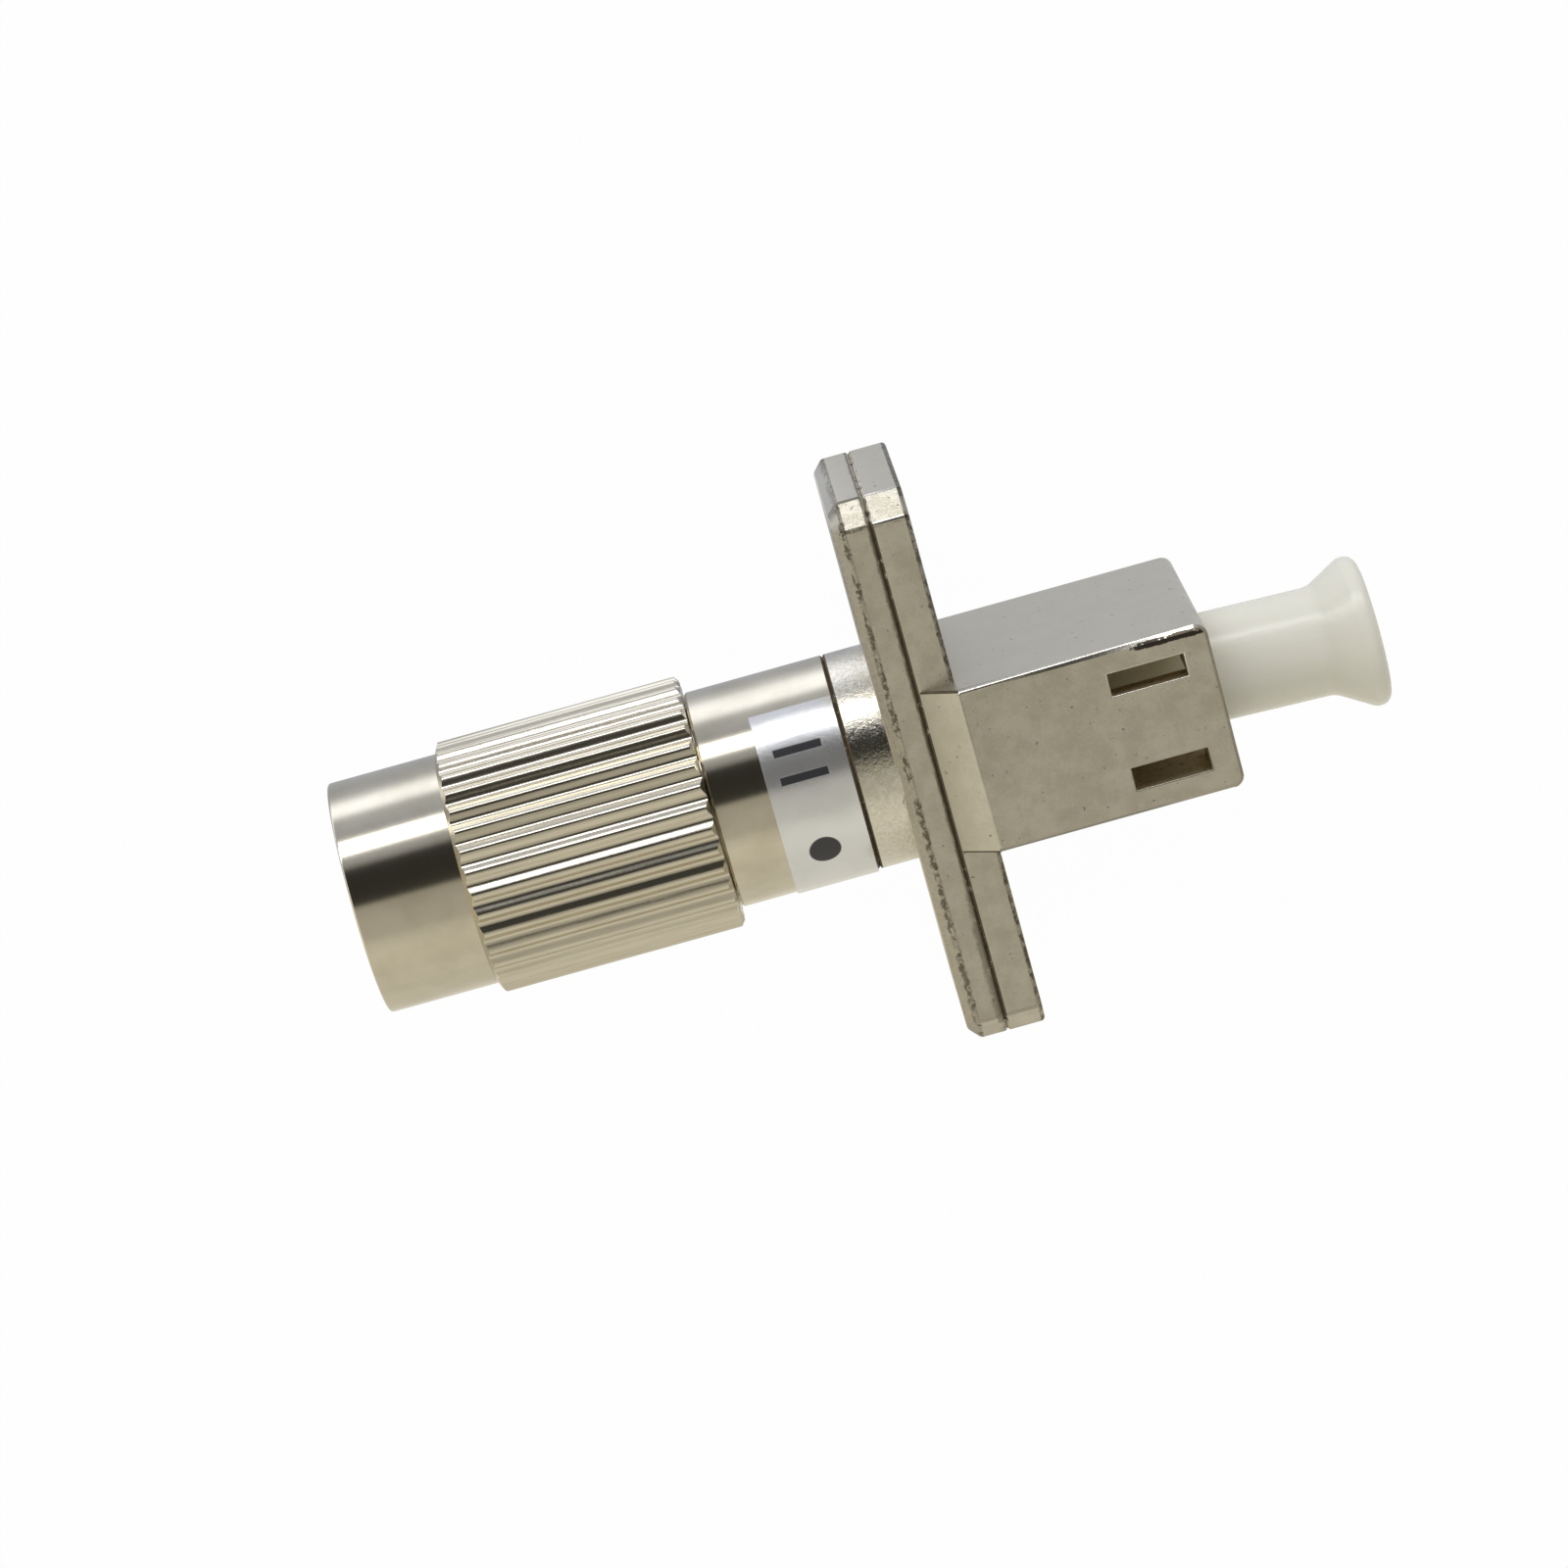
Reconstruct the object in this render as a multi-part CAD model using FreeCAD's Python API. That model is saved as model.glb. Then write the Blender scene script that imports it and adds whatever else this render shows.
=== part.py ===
import FreeCAD, Part
import math
import os

from FreeCAD import Vector

# Hybrid fibre adapter: a threaded round plug on the left, a small square latch port on the right.
# Millimetres. +X runs along the optical axis towards the port, +Y along the flange ears and +Z
# out of the latch face. The origin is on the optical axis, in the flange's port-side face.

# Flange
hole_pitch = 18.0
hole_diameter = 2.2
ear_margin = 2.0
flange_width = 9.3
flange_corner = 0.95
front_plate = 1.5
rear_plate = 1.5
front_bevel = 0.45
rear_bevel = 0.12
parting_bevel = 0.1
boss_length = 1.55
boss_wall = 1.0

# Latch port
port_width = 4.7
port_wall = 0.95
port_length = 9.6
port_web = 0.6
plug_height = 4.6
wing_height = 1.25
arm_height = 1.35
latch_wall = 1.0
window_length = 2.97
window_width = 0.88
window_setback = 1.08
body_edge = 0.12
mouth_corner = 0.45
mouth_lead = 0.25

# Coupling nut, with its thread left as a plain bore of the minor diameter
thread_diameter = 8.0
thread_pitch = 0.75
thread_length = 6.5
collar_wall = 0.58
collar_length = 4.3
knurl_rise = 0.42
knurl_length = 9.8
knurl_teeth = 37
knurl_turn = 8.1
knurl_depth = 0.2
knurl_crest = 0.12
knurl_front_bevel = 0.22
knurl_rear_bevel = 0.16
collar_edge = 0.1
mouth_chamfer = 0.25
nut_gap = 0.05
nut_travel = 2.0

# Split ring that keeps the nut on the plug
ring_thickness = 0.7
ring_depth = 0.5
ring_opening = 1.6
ring_setback = 0.8

# Plug frame and barrel
shoulder_rise = 0.35
shoulder_length = 1.2
nose_diameter = 5.9
nose_recess = 4.85
nose_aperture = 3.2
nose_chamfer = 0.3
key_width = 2.1
key_setback = 0.6
neck_insert = 3.1
barrel_wall = 1.09
barrel_length = 5.55
barrel_chamfer = 0.1
end_wall = 0.5

# Ferrules, fibre and their holder
plug_ferrule_diameter = 2.5
plug_ferrule_recess = 0.65
plug_ferrule_taper = 0.55
port_ferrule_diameter = 1.25
port_ferrule_taper = 0.35
seat_depth = 2.0
ferrule_socket = 1.8
holder_web = 0.8
holder_tail_diameter = 2.6
holder_bore = 0.9
stub_socket = 1.6
float_travel = 0.8
float_spare = 0.2
fibre_diameter = 0.125

# Ferrule spring and its stop
spring_wire = 0.4
spring_turns = 6
spring_runs = 10
spring_sides = 6
spring_room = 0.3
stop_length = 1.6
stop_wall = 0.92

# Alignment sleeve and its holder
sleeve_length = 6.7
sleeve_wall = 0.185
sleeve_slot = 0.3
holder_wall = 0.5
sleeve_lip = 0.5
lip_cover = 0.12
sleeve_holder_flange = 0.8
sleeve_holder_rise = 0.85

# Dust cap
cap_insert = 6.2
cap_protrusion = 6.6
grip_rise = 0.82
grip_neck_radius = 1.0
grip_slope = 30.0
grip_land = 0.2
grip_chamfer = 0.45
grip_wall = 0.7
grip_hollow = 4.2

# Barrel label
label_width = 3.25
label_thickness = 0.08
label_start = 36.0
label_sweep = 200.0

# Press pins between the two flange plates
pin_diameter = 1.5
pin_depth = 1.1

# Clearances
run_clearance = 0.05
slip_clearance = 0.1
stop_clearance = 0.05
stub_clearance = 0.125
tail_clearance = 0.075
sleeve_clearance = 0.04
key_clearance = 0.15
cap_clearance = 0.2
fibre_clearance = 0.005

# Both flanks of an ISO metric thread, as a share of its pitch
ISO_THREAD_HEIGHT = 1.0825

# How far a cutting solid runs past the face that it cuts
overcut = 1.0

# Places along the optical axis
parting_x = -rear_plate
front_face_x = parting_x - front_plate
seam_x = front_face_x - boss_length
barrel_front_x = seam_x - barrel_length
nut_back_x = barrel_front_x - nut_gap
knurl_front_x = nut_back_x - knurl_length
nut_front_x = knurl_front_x - collar_length
ring_back_x = nut_back_x - ring_setback - stop_clearance
ring_front_x = ring_back_x - ring_thickness
shoulder_back_x = ring_front_x - nut_travel - stop_clearance
shoulder_front_x = shoulder_back_x - shoulder_length
neck_end_x = barrel_front_x + neck_insert
nose_front_x = nut_front_x + nose_recess
seat_x = nose_front_x + seat_depth
plug_tail_x = seat_x + ferrule_socket
head_back_x = plug_tail_x + holder_web
stop_front_x = neck_end_x - stop_length
plug_tip_x = nut_front_x + plug_ferrule_recess
sleeve_start_x = parting_x + stop_clearance
sleeve_end_x = sleeve_start_x + sleeve_length
port_tip_x = sleeve_start_x + sleeve_length / 2
holder_end_x = parting_x - end_wall - float_travel - float_spare
port_tail_x = holder_end_x - stub_socket
holder_lip_x = sleeve_end_x + stop_clearance
sleeve_holder_end_x = holder_lip_x + sleeve_lip
port_end_x = port_length
port_floor_x = port_web
cap_start_x = port_end_x - cap_insert
cap_floor_x = sleeve_holder_end_x + slip_clearance
cap_end_x = port_end_x + cap_protrusion

# Radii and half widths
thread_minor_r = (thread_diameter - ISO_THREAD_HEIGHT * thread_pitch) / 2
collar_r = thread_diameter / 2 + collar_wall
knurl_r = collar_r + knurl_rise
shoulder_r = thread_minor_r - run_clearance
neck_r = shoulder_r - shoulder_rise
nut_bore_r = shoulder_r + slip_clearance
ring_bore_r = neck_r + slip_clearance
ring_r = nut_bore_r + ring_depth
nose_r = nose_diameter / 2
key_top_z = math.sqrt((thread_minor_r - key_clearance) ** 2 - (key_width / 2) ** 2)
holder_tail_r = holder_tail_diameter / 2
frame_bore_r = holder_tail_r + tail_clearance + stop_wall
holder_head_r = frame_bore_r - run_clearance
barrel_r = neck_r + barrel_wall
spigot_r = barrel_r - boss_wall
barrel_bore_r = holder_tail_r + spring_room
plug_ferrule_r = plug_ferrule_diameter / 2
port_ferrule_r = port_ferrule_diameter / 2
sleeve_r = port_ferrule_r + sleeve_wall
holder_bore_r = sleeve_r + sleeve_clearance
sleeve_holder_r = holder_bore_r + holder_wall
sleeve_flange_r = sleeve_holder_r + sleeve_holder_rise
hole_r = hole_diameter / 2
pin_r = pin_diameter / 2
hole_y = hole_pitch / 2
pin_y = (barrel_r + hole_y - hole_r) / 2
flange_half_y = hole_y + ear_margin
flange_half_z = flange_width / 2
body_half_y = port_width / 2 + port_wall
plug_half_z = plug_height / 2
wing_top_z = plug_half_z + wing_height
arm_top_z = wing_top_z + arm_height
latch_face_z = arm_top_z + latch_wall
cap_r = port_width / 2 - cap_clearance
grip_r = cap_r + grip_rise

AXIS = Vector(1, 0, 0)
ORIGIN = Vector(0, 0, 0)


def turned(*profile, angle=360):
    """A turned solid from its (x, radius) outline, spun about the optical axis."""
    points = [Vector(x, r, 0) for x, r in profile]
    return Part.Face(Part.makePolygon(points + points[:1])).revolve(ORIGIN, AXIS, angle)


def rod(x0, x1, r, y=0.0):
    """A plain round bar along X."""
    return Part.makeCylinder(r, x1 - x0, Vector(x0, y, 0), AXIS)


def block(x0, x1, y0, y1, z0, z1):
    """A box from its limits."""
    return Part.makeBox(x1 - x0, y1 - y0, z1 - z0, Vector(x0, y0, z0))


def prism(outline_yz, x0, x1):
    """A straight bar along X with the given outline across it."""
    points = [Vector(x0, y, z) for y, z in outline_yz]
    return Part.Face(Part.makePolygon(points + points[:1])).extrude(Vector(x1 - x0, 0, 0))


def edges_at(shape, x):
    """The edges that lie wholly in the plane across the axis at x."""
    return [e for e in shape.Edges if all(abs(v.X - x) < 1e-6 for v in e.Vertexes)]


def flange_plate(x0, x1):
    """One flange plate with its corners cut off, before its holes."""
    y, z, c = flange_half_y, flange_half_z, flange_corner
    outline = [(y - c, z), (y, z - c), (y, c - z), (y - c, -z),
               (c - y, -z), (-y, c - z), (-y, z - c), (c - y, z)]
    return prism(outline, x0, x1)


def flange_holes():
    """The two screw holes, through both plates."""
    return [rod(front_face_x - overcut, overcut, hole_r, side * hole_y) for side in (1, -1)]


def pins():
    """The two press pins, across the parting plane."""
    return [rod(parting_x - pin_depth, parting_x + pin_depth, pin_r, side * pin_y) for side in (1, -1)]


def make_coupling_nut():
    """Smooth collar and straight knurl, with the thread bore, clearance bore and ring groove inside."""
    root_r = knurl_r - knurl_depth
    pitch = 2 * math.pi / knurl_teeth
    crest = knurl_crest / knurl_r / 2
    outline = []
    for tooth in range(knurl_teeth):
        middle = math.radians(knurl_turn) + tooth * pitch
        for angle, r in ((middle - crest, knurl_r), (middle + crest, knurl_r), (middle + pitch / 2, root_r)):
            outline.append((r * math.cos(angle), r * math.sin(angle)))
    teeth = prism(outline, knurl_front_x, nut_back_x)
    bevels = turned((knurl_front_x, 0), (knurl_front_x, collar_r),
                    (knurl_front_x + knurl_front_bevel, knurl_r), (nut_back_x - knurl_rear_bevel, knurl_r),
                    (nut_back_x, root_r), (nut_back_x, 0))
    collar = turned((nut_front_x, 0), (nut_front_x, collar_r - collar_edge),
                    (nut_front_x + collar_edge, collar_r), (knurl_front_x, collar_r), (knurl_front_x, 0))
    thread_end_x = nut_front_x + thread_length
    groove_r = ring_r + run_clearance
    bore = turned((nut_front_x, 0), (nut_front_x, thread_minor_r + mouth_chamfer),
                  (nut_front_x + mouth_chamfer, thread_minor_r), (thread_end_x, thread_minor_r),
                  (thread_end_x, nut_bore_r), (ring_front_x - stop_clearance, nut_bore_r),
                  (ring_front_x - stop_clearance, groove_r), (ring_back_x + stop_clearance, groove_r),
                  (ring_back_x + stop_clearance, nut_bore_r), (nut_back_x, nut_bore_r), (nut_back_x, 0))
    return teeth.common(bevels).fuse(collar).cut(bore).removeSplitter()


def make_retaining_ring():
    """Flat ring with an opening, so that it can be sprung into its groove."""
    ring = turned((ring_front_x, ring_bore_r), (ring_front_x, ring_r),
                  (ring_back_x, ring_r), (ring_back_x, ring_bore_r))
    half = ring_opening / 2
    return ring.cut(block(ring_front_x, ring_back_x, 0, ring_r + overcut, -half, half))


def make_plug_frame():
    """Keyed nose, stop shoulder and neck, hollow for the ferrule holder and its spring."""
    aperture_r = nose_aperture / 2
    frame = turned((nose_front_x, aperture_r), (nose_front_x, nose_r - nose_chamfer),
                   (nose_front_x + nose_chamfer, nose_r), (shoulder_front_x, nose_r),
                   (shoulder_front_x, shoulder_r), (shoulder_back_x, shoulder_r), (shoulder_back_x, neck_r),
                   (neck_end_x, neck_r), (neck_end_x, frame_bore_r), (seat_x, frame_bore_r),
                   (seat_x, aperture_r))
    half = key_width / 2
    key_root_z = (nose_r + aperture_r) / 2
    key = block(nose_front_x + key_setback, shoulder_front_x, -half, half, key_root_z, key_top_z)
    return frame.fuse(key).removeSplitter()


def make_barrel():
    """Round body with the neck's socket in front and the spigot for the boss behind."""
    hole_in_wall_r = port_ferrule_r + stub_clearance
    wall_x = parting_x - end_wall
    return turned((barrel_front_x, neck_r), (barrel_front_x, barrel_r - barrel_chamfer),
                  (barrel_front_x + barrel_chamfer, barrel_r), (seam_x - barrel_chamfer, barrel_r),
                  (seam_x, barrel_r - barrel_chamfer), (seam_x, spigot_r), (parting_x, spigot_r),
                  (parting_x, hole_in_wall_r), (wall_x, hole_in_wall_r), (wall_x, barrel_bore_r),
                  (neck_end_x, barrel_bore_r), (neck_end_x, neck_r))


def make_front_flange():
    """Plug-side plate with bevelled edges and the boss that takes the barrel's spigot."""
    plate = flange_plate(front_face_x, parting_x)
    plate = plate.makeChamfer(front_bevel, edges_at(plate, front_face_x))
    plate = plate.makeChamfer(parting_bevel, edges_at(plate, parting_x))
    boss = rod(seam_x, front_face_x + front_bevel, barrel_r)
    cuts = [rod(seam_x, parting_x, spigot_r)] + flange_holes() + pins()
    return plate.fuse(boss).cut(cuts).removeSplitter()


def port_cavity():
    """The space for the latch plug: its square bore, the latch's wings, and its arm between the windows."""
    half = port_width / 2
    arm_half = half - window_width
    past_x = port_end_x + overcut
    bore = block(port_floor_x, past_x, -half, half, -plug_half_z, wing_top_z)
    arm = block(port_floor_x, past_x, -arm_half, arm_half, wing_top_z, arm_top_z)
    lead = mouth_lead
    mouth = [(-half, -plug_half_z), (half, -plug_half_z), (half, wing_top_z), (-half, wing_top_z)]
    wide = [(-half - lead, -plug_half_z - lead), (half + lead, -plug_half_z - lead),
            (half + lead, wing_top_z + lead), (-half - lead, wing_top_z + lead)]
    rims = []
    for x, outline in ((port_end_x - lead, mouth), (port_end_x, wide)):
        points = [Vector(x, y, z) for y, z in outline]
        rims.append(Part.makePolygon(points + points[:1]))
    return bore.fuse([arm, Part.makeLoft(rims, True)])


def latch_windows():
    """The two windows that the latch's wings spring into."""
    x1 = port_end_x - window_setback
    x0 = x1 - window_length
    outer = port_width / 2
    inner = outer - window_width
    top_z = latch_face_z + overcut
    return [block(x0, x1, y0, y1, 0, top_z) for y0, y1 in ((inner, outer), (-outer, -inner))]


def make_port_housing():
    """Port-side plate and latch port in one casting, with the ramp up to the latch face."""
    plate = flange_plate(parting_x, 0)
    plate = plate.makeChamfer(rear_bevel, edges_at(plate, 0))
    plate = plate.makeChamfer(parting_bevel, edges_at(plate, parting_x))
    body = block(0, port_end_x, -body_half_y, body_half_y, -flange_half_z, latch_face_z)
    corners = [e for e in edges_at(body, port_end_x) if abs(e.Length - latch_face_z - flange_half_z) < 1e-6]
    body = body.makeFillet(mouth_corner, corners)
    long_edges = [e for e in body.Edges if abs(e.Length - port_length + mouth_corner) < 1e-6]
    body = body.makeChamfer(body_edge, long_edges)
    root_x = parting_x + parting_bevel
    slope = [Vector(root_x, -body_half_y, flange_half_z), Vector(0, -body_half_y, flange_half_z),
             Vector(0, -body_half_y, latch_face_z)]
    ramp = Part.Face(Part.makePolygon(slope + slope[:1])).extrude(Vector(0, 2 * body_half_y, 0))
    root = block(root_x, 0, -body_half_y, body_half_y, -flange_half_z, flange_half_z)
    sleeve_seat = rod(parting_x, parting_x + sleeve_holder_flange, sleeve_flange_r)
    sleeve_hole = rod(parting_x, port_floor_x + overcut, sleeve_holder_r)
    cuts = [sleeve_seat, sleeve_hole, port_cavity()] + latch_windows() + flange_holes() + pins()
    return body.fuse([plate, ramp, root]).cut(cuts).removeSplitter()


def make_plug_ferrule():
    """Ceramic ferrule with a tapered tip, bored for the fibre."""
    r = plug_ferrule_r
    bore_r = fibre_diameter / 2 + fibre_clearance
    return turned((plug_tip_x, bore_r), (plug_tip_x, r - plug_ferrule_taper),
                  (plug_tip_x + plug_ferrule_taper, r), (plug_tail_x, r), (plug_tail_x, bore_r))


def make_port_ferrule():
    """The smaller ceramic ferrule, tip towards the port."""
    r = port_ferrule_r
    bore_r = fibre_diameter / 2 + fibre_clearance
    return turned((port_tail_x, bore_r), (port_tail_x, r), (port_tip_x - port_ferrule_taper, r),
                  (port_tip_x, r - port_ferrule_taper), (port_tip_x, bore_r))


def make_ferrule_holder():
    """Headed tube that joins the two ferrules."""
    bore_r = holder_bore / 2
    return turned((seat_x, plug_ferrule_r), (seat_x, holder_head_r), (head_back_x, holder_head_r),
                  (head_back_x, holder_tail_r), (holder_end_x, holder_tail_r), (holder_end_x, port_ferrule_r),
                  (port_tail_x, port_ferrule_r), (port_tail_x, bore_r), (plug_tail_x, bore_r),
                  (plug_tail_x, plug_ferrule_r))


def make_fibre():
    """Bare glass from one ferrule's tip to the other's."""
    return rod(plug_tip_x, port_tip_x, fibre_diameter / 2)


def make_ferrule_spring():
    """Coil round the holder's tail, drawn as short straight runs of many-sided wire."""
    wire_r = spring_wire / 2
    coil_r = (holder_tail_r + frame_bore_r) / 2
    start_x = head_back_x + wire_r + stop_clearance
    length = stop_front_x - wire_r - stop_clearance - start_x
    runs = spring_turns * spring_runs
    path = []
    for run in range(runs + 1):
        turn = 2 * math.pi * run / spring_runs
        path.append(Vector(start_x + length * run / runs, coil_r * math.cos(turn), coil_r * math.sin(turn)))
    corners = []
    for side in range(spring_sides):
        turn = 2 * math.pi * side / spring_sides
        corners.append(path[0] + Vector(wire_r * math.sin(turn), wire_r * math.cos(turn), 0))
    section = Part.makePolygon(corners + corners[:1])
    mitred = 1
    return Part.makePolygon(path).makePipeShell([section], True, False, mitred)


def make_spring_stop():
    """Ring pressed into the back of the plug frame."""
    bore_r = holder_tail_r + tail_clearance
    return turned((stop_front_x, bore_r), (stop_front_x, frame_bore_r),
                  (neck_end_x, frame_bore_r), (neck_end_x, bore_r))


def make_split_sleeve():
    """Thin ceramic sleeve with a slot along its whole length."""
    sleeve = turned((sleeve_start_x, port_ferrule_r), (sleeve_start_x, sleeve_r), (sleeve_end_x, sleeve_r),
                    (sleeve_end_x, port_ferrule_r))
    half = sleeve_slot / 2
    return sleeve.cut(block(sleeve_start_x, sleeve_end_x, 0, sleeve_r + overcut, -half, half))


def make_sleeve_holder():
    """Flanged tube with a lip that keeps the split sleeve in."""
    lip_r = sleeve_r - lip_cover
    flange_x = parting_x + sleeve_holder_flange
    return turned((parting_x, holder_bore_r), (parting_x, sleeve_flange_r), (flange_x, sleeve_flange_r),
                  (flange_x, sleeve_holder_r), (sleeve_holder_end_x, sleeve_holder_r),
                  (sleeve_holder_end_x, lip_r), (holder_lip_x, lip_r), (holder_lip_x, holder_bore_r))


def make_dust_cap():
    """Tube that slips over the sleeve holder, with a flared hollow grip."""
    bore_r = sleeve_holder_r + run_clearance
    slope = math.radians(grip_slope)
    land_end_x = cap_end_x - grip_chamfer
    land_x = land_end_x - grip_land
    bend_rise = grip_neck_radius * (1 - math.cos(slope))
    bend_x = land_x - (grip_rise - bend_rise) / math.tan(slope)
    flare_x = bend_x - grip_neck_radius * math.sin(slope)
    halfway = Vector(flare_x + grip_neck_radius * math.sin(slope / 2),
                     cap_r + grip_neck_radius * (1 - math.cos(slope / 2)), 0)
    hollow_r = cap_r - grip_wall
    hollow_x = cap_end_x - grip_hollow
    corners = [(bend_x, cap_r + bend_rise), (land_x, grip_r), (land_end_x, grip_r),
               (cap_end_x, grip_r - grip_chamfer), (cap_end_x, hollow_r), (hollow_x, hollow_r), (hollow_x, 0),
               (cap_floor_x, 0), (cap_floor_x, bore_r), (cap_start_x, bore_r), (cap_start_x, cap_r),
               (flare_x, cap_r)]
    points = [Vector(x, r, 0) for x, r in corners]
    neck = Part.Arc(points[-1], halfway, points[0]).toShape()
    outline = Part.Wire(Part.makePolygon(points).Edges + [neck])
    return Part.Face(outline).revolve(ORIGIN, AXIS, 360)


def make_barrel_label():
    """Thin paper strip on the barrel, up to its chamfer."""
    x1 = seam_x - barrel_chamfer
    x0 = x1 - label_width
    outer_r = barrel_r + label_thickness
    strip = turned((x0, barrel_r), (x0, outer_r), (x1, outer_r), (x1, barrel_r), angle=label_sweep)
    strip.rotate(ORIGIN, AXIS, label_start)
    return strip


PIECES = {
    "coupling_nut": make_coupling_nut,
    "retaining_ring": make_retaining_ring,
    "plug_frame": make_plug_frame,
    "barrel": make_barrel,
    "barrel_label": make_barrel_label,
    "front_flange": make_front_flange,
    "port_housing": make_port_housing,
    "plug_ferrule": make_plug_ferrule,
    "ferrule_holder": make_ferrule_holder,
    "port_ferrule": make_port_ferrule,
    "fibre": make_fibre,
    "ferrule_spring": make_ferrule_spring,
    "spring_stop": make_spring_stop,
    "split_sleeve": make_split_sleeve,
    "sleeve_holder": make_sleeve_holder,
    "dust_cap": make_dust_cap,
    "flange_pins": lambda: Part.makeCompound(pins()),
}

os.makedirs("parts", exist_ok=True)
for name, make in PIECES.items():
    make().exportStep(os.path.join("parts", name + ".step"))
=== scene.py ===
import math
from contextlib import contextmanager

import bmesh
import bpy
from bpy.props import FloatProperty, FloatVectorProperty, IntProperty, PointerProperty
from mathutils import Matrix, Vector


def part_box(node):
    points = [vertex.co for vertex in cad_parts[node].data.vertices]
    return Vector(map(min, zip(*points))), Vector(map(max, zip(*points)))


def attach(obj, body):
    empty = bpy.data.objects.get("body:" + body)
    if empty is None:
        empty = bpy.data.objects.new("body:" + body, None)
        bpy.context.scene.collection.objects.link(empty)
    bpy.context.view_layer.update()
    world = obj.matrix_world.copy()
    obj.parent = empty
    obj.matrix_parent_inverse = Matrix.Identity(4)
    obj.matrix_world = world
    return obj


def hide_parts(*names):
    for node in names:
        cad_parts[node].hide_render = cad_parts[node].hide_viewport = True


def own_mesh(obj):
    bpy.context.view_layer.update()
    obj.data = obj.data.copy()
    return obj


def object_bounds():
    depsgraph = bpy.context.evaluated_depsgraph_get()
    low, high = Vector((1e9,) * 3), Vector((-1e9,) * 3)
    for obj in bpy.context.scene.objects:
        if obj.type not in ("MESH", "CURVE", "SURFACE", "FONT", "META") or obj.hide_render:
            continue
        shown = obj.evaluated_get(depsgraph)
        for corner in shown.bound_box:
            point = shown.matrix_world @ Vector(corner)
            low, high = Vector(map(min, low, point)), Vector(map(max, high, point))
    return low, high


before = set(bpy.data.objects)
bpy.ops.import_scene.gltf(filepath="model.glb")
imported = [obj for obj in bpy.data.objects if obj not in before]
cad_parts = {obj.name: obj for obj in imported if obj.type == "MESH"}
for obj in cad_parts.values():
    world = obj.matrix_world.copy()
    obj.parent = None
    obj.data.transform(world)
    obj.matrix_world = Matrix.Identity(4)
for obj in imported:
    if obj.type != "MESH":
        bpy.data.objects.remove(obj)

bl_info = {
    "name": "Hybrid fibre adapter",
    "version": (1, 0, 0),
    "blender": (4, 5, 0),
    "location": "View3D > Sidebar > Adapter",
    "description": "Dresses the adapter's solids with fine meshes and finishes, and sets its stage",
    "category": "Object",
}

CAD_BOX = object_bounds()
MM = 0.001

# Distances in metres: points closer than the first are one point, places closer than the second are equal
MERGE = 1e-8
TOUCH = 1e-6

# How finely the pieces are divided
RING_SEGMENTS = 192
ROUND_STEPS = 4
CAP_STEPS = 8
EDGE_SEGMENTS = 3
TOOTH_STEPS = 9
THREAD_STEPS = 96
LABEL_STEPS = 120
LABEL_ROUND_STEPS = 2
COIL_STEPS = 48
COIL_SIDES = 12

# Shading is smooth up to the first angle, faces within the second are one, edges past the third are rounded
SMOOTH_ANGLE = math.radians(28)
FLAT_ANGLE = math.radians(0.4)
EDGE_ANGLE = math.radians(35)

# Share of a face that a rounding may take, and the least part of a normal along an axis to face that way
EDGE_SHARE = 0.4
FACING = 0.98

# The thread's ridge: its sides, its height for its radius, and how much larger it is to sink into the bore
RIDGE_SIDES = 3
RIDGE_RISE = 1.5
RIDGE_GROWTH = 1.04

# Share of the rounding that the latch windows' rims take, and of the sticker's thickness for its own edge
LATCH_SHARE = 0.65
LABEL_LIP = 0.35

# Detail and roughness of the finishes' noises, and how much of the plate dirt and wear hide
SANDY = (4.0, 0.7)
CRUMBLY = (4.0, 0.65)
WEAR_COVER = 0.85

# Where the photograph was taken from: the part's turn in the view, then the flange's place in it
VIEW_ROLL = math.radians(15.751)
VIEW_TILT = math.radians(16.665)
VIEW_SWING = math.radians(-0.774)
VIEW_PLACE = Vector((5.543, 1.682, -226.896)) * MM
VIEW_ORIGIN = Vector((-1.5, 0, 0)) * MM
VIEW_LENS = 135.0
VIEW_CLIP = (0.01, 20.0)

# The floor, and the shares of it that glow to the camera and in the metal: the rest takes the part's shadow
FLOOR_RADIUS = 3.0
FLOOR_SEGMENTS = 64
FLOOR_SEEN = 0.98
FLOOR_MIRRORED = 0.9

# What the metal mirrors: (place along Y in millimetres, level) of the floor's glow by the port and by
# the plug, painted light beside the plug and painted shadow by the part, and (degrees from overhead
# towards +Y, level) of the studio above it
PORT_FLOOR_GLOW = [(-60, 0.7), (-14, 0.72), (-9, 0.95), (-5, 0.8), (3, 0.8), (12, 0.8), (40, 0.68), (90, 0.58)]
PLUG_FLOOR_GLOW = [(-60, 0.35), (-14, 0.37), (-9, 0.44), (-5, 0.36), (0, 0.26), (5, 0.27), (7, 0.32), (9, 0.5),
              (11, 0.82), (14, 0.98), (21, 0.92), (30, 0.5), (40, 0.34), (90, 0.29)]
PLUG_GLOW_GAIN = 2.0
STUDIO = [(-90, 0.7), (-66, 0.7), (-55, 0.76), (-42, 0.74), (-32, 0.66), (-25, 0.52), (-9, 0.5), (0, 0.46),
          (7, 0.43), (10.5, 0.04), (45, 0.03), (51, 0.42), (74, 0.5), (82, 0.46), (90, 0.58)]
PORT_END_LEVEL = 0.25
WHITE = (1.0, 1.0, 1.0)


def length(name, millimetres, description):
    """A size property in metres, given in millimetres."""
    return FloatProperty(name=name, description=description, default=millimetres * MM, min=0.0,
                         unit="LENGTH", precision=6)


def angle(name, degrees, description):
    """An angle property in radians, given in degrees."""
    return FloatProperty(name=name, description=description, default=math.radians(degrees), subtype="ANGLE")


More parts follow.
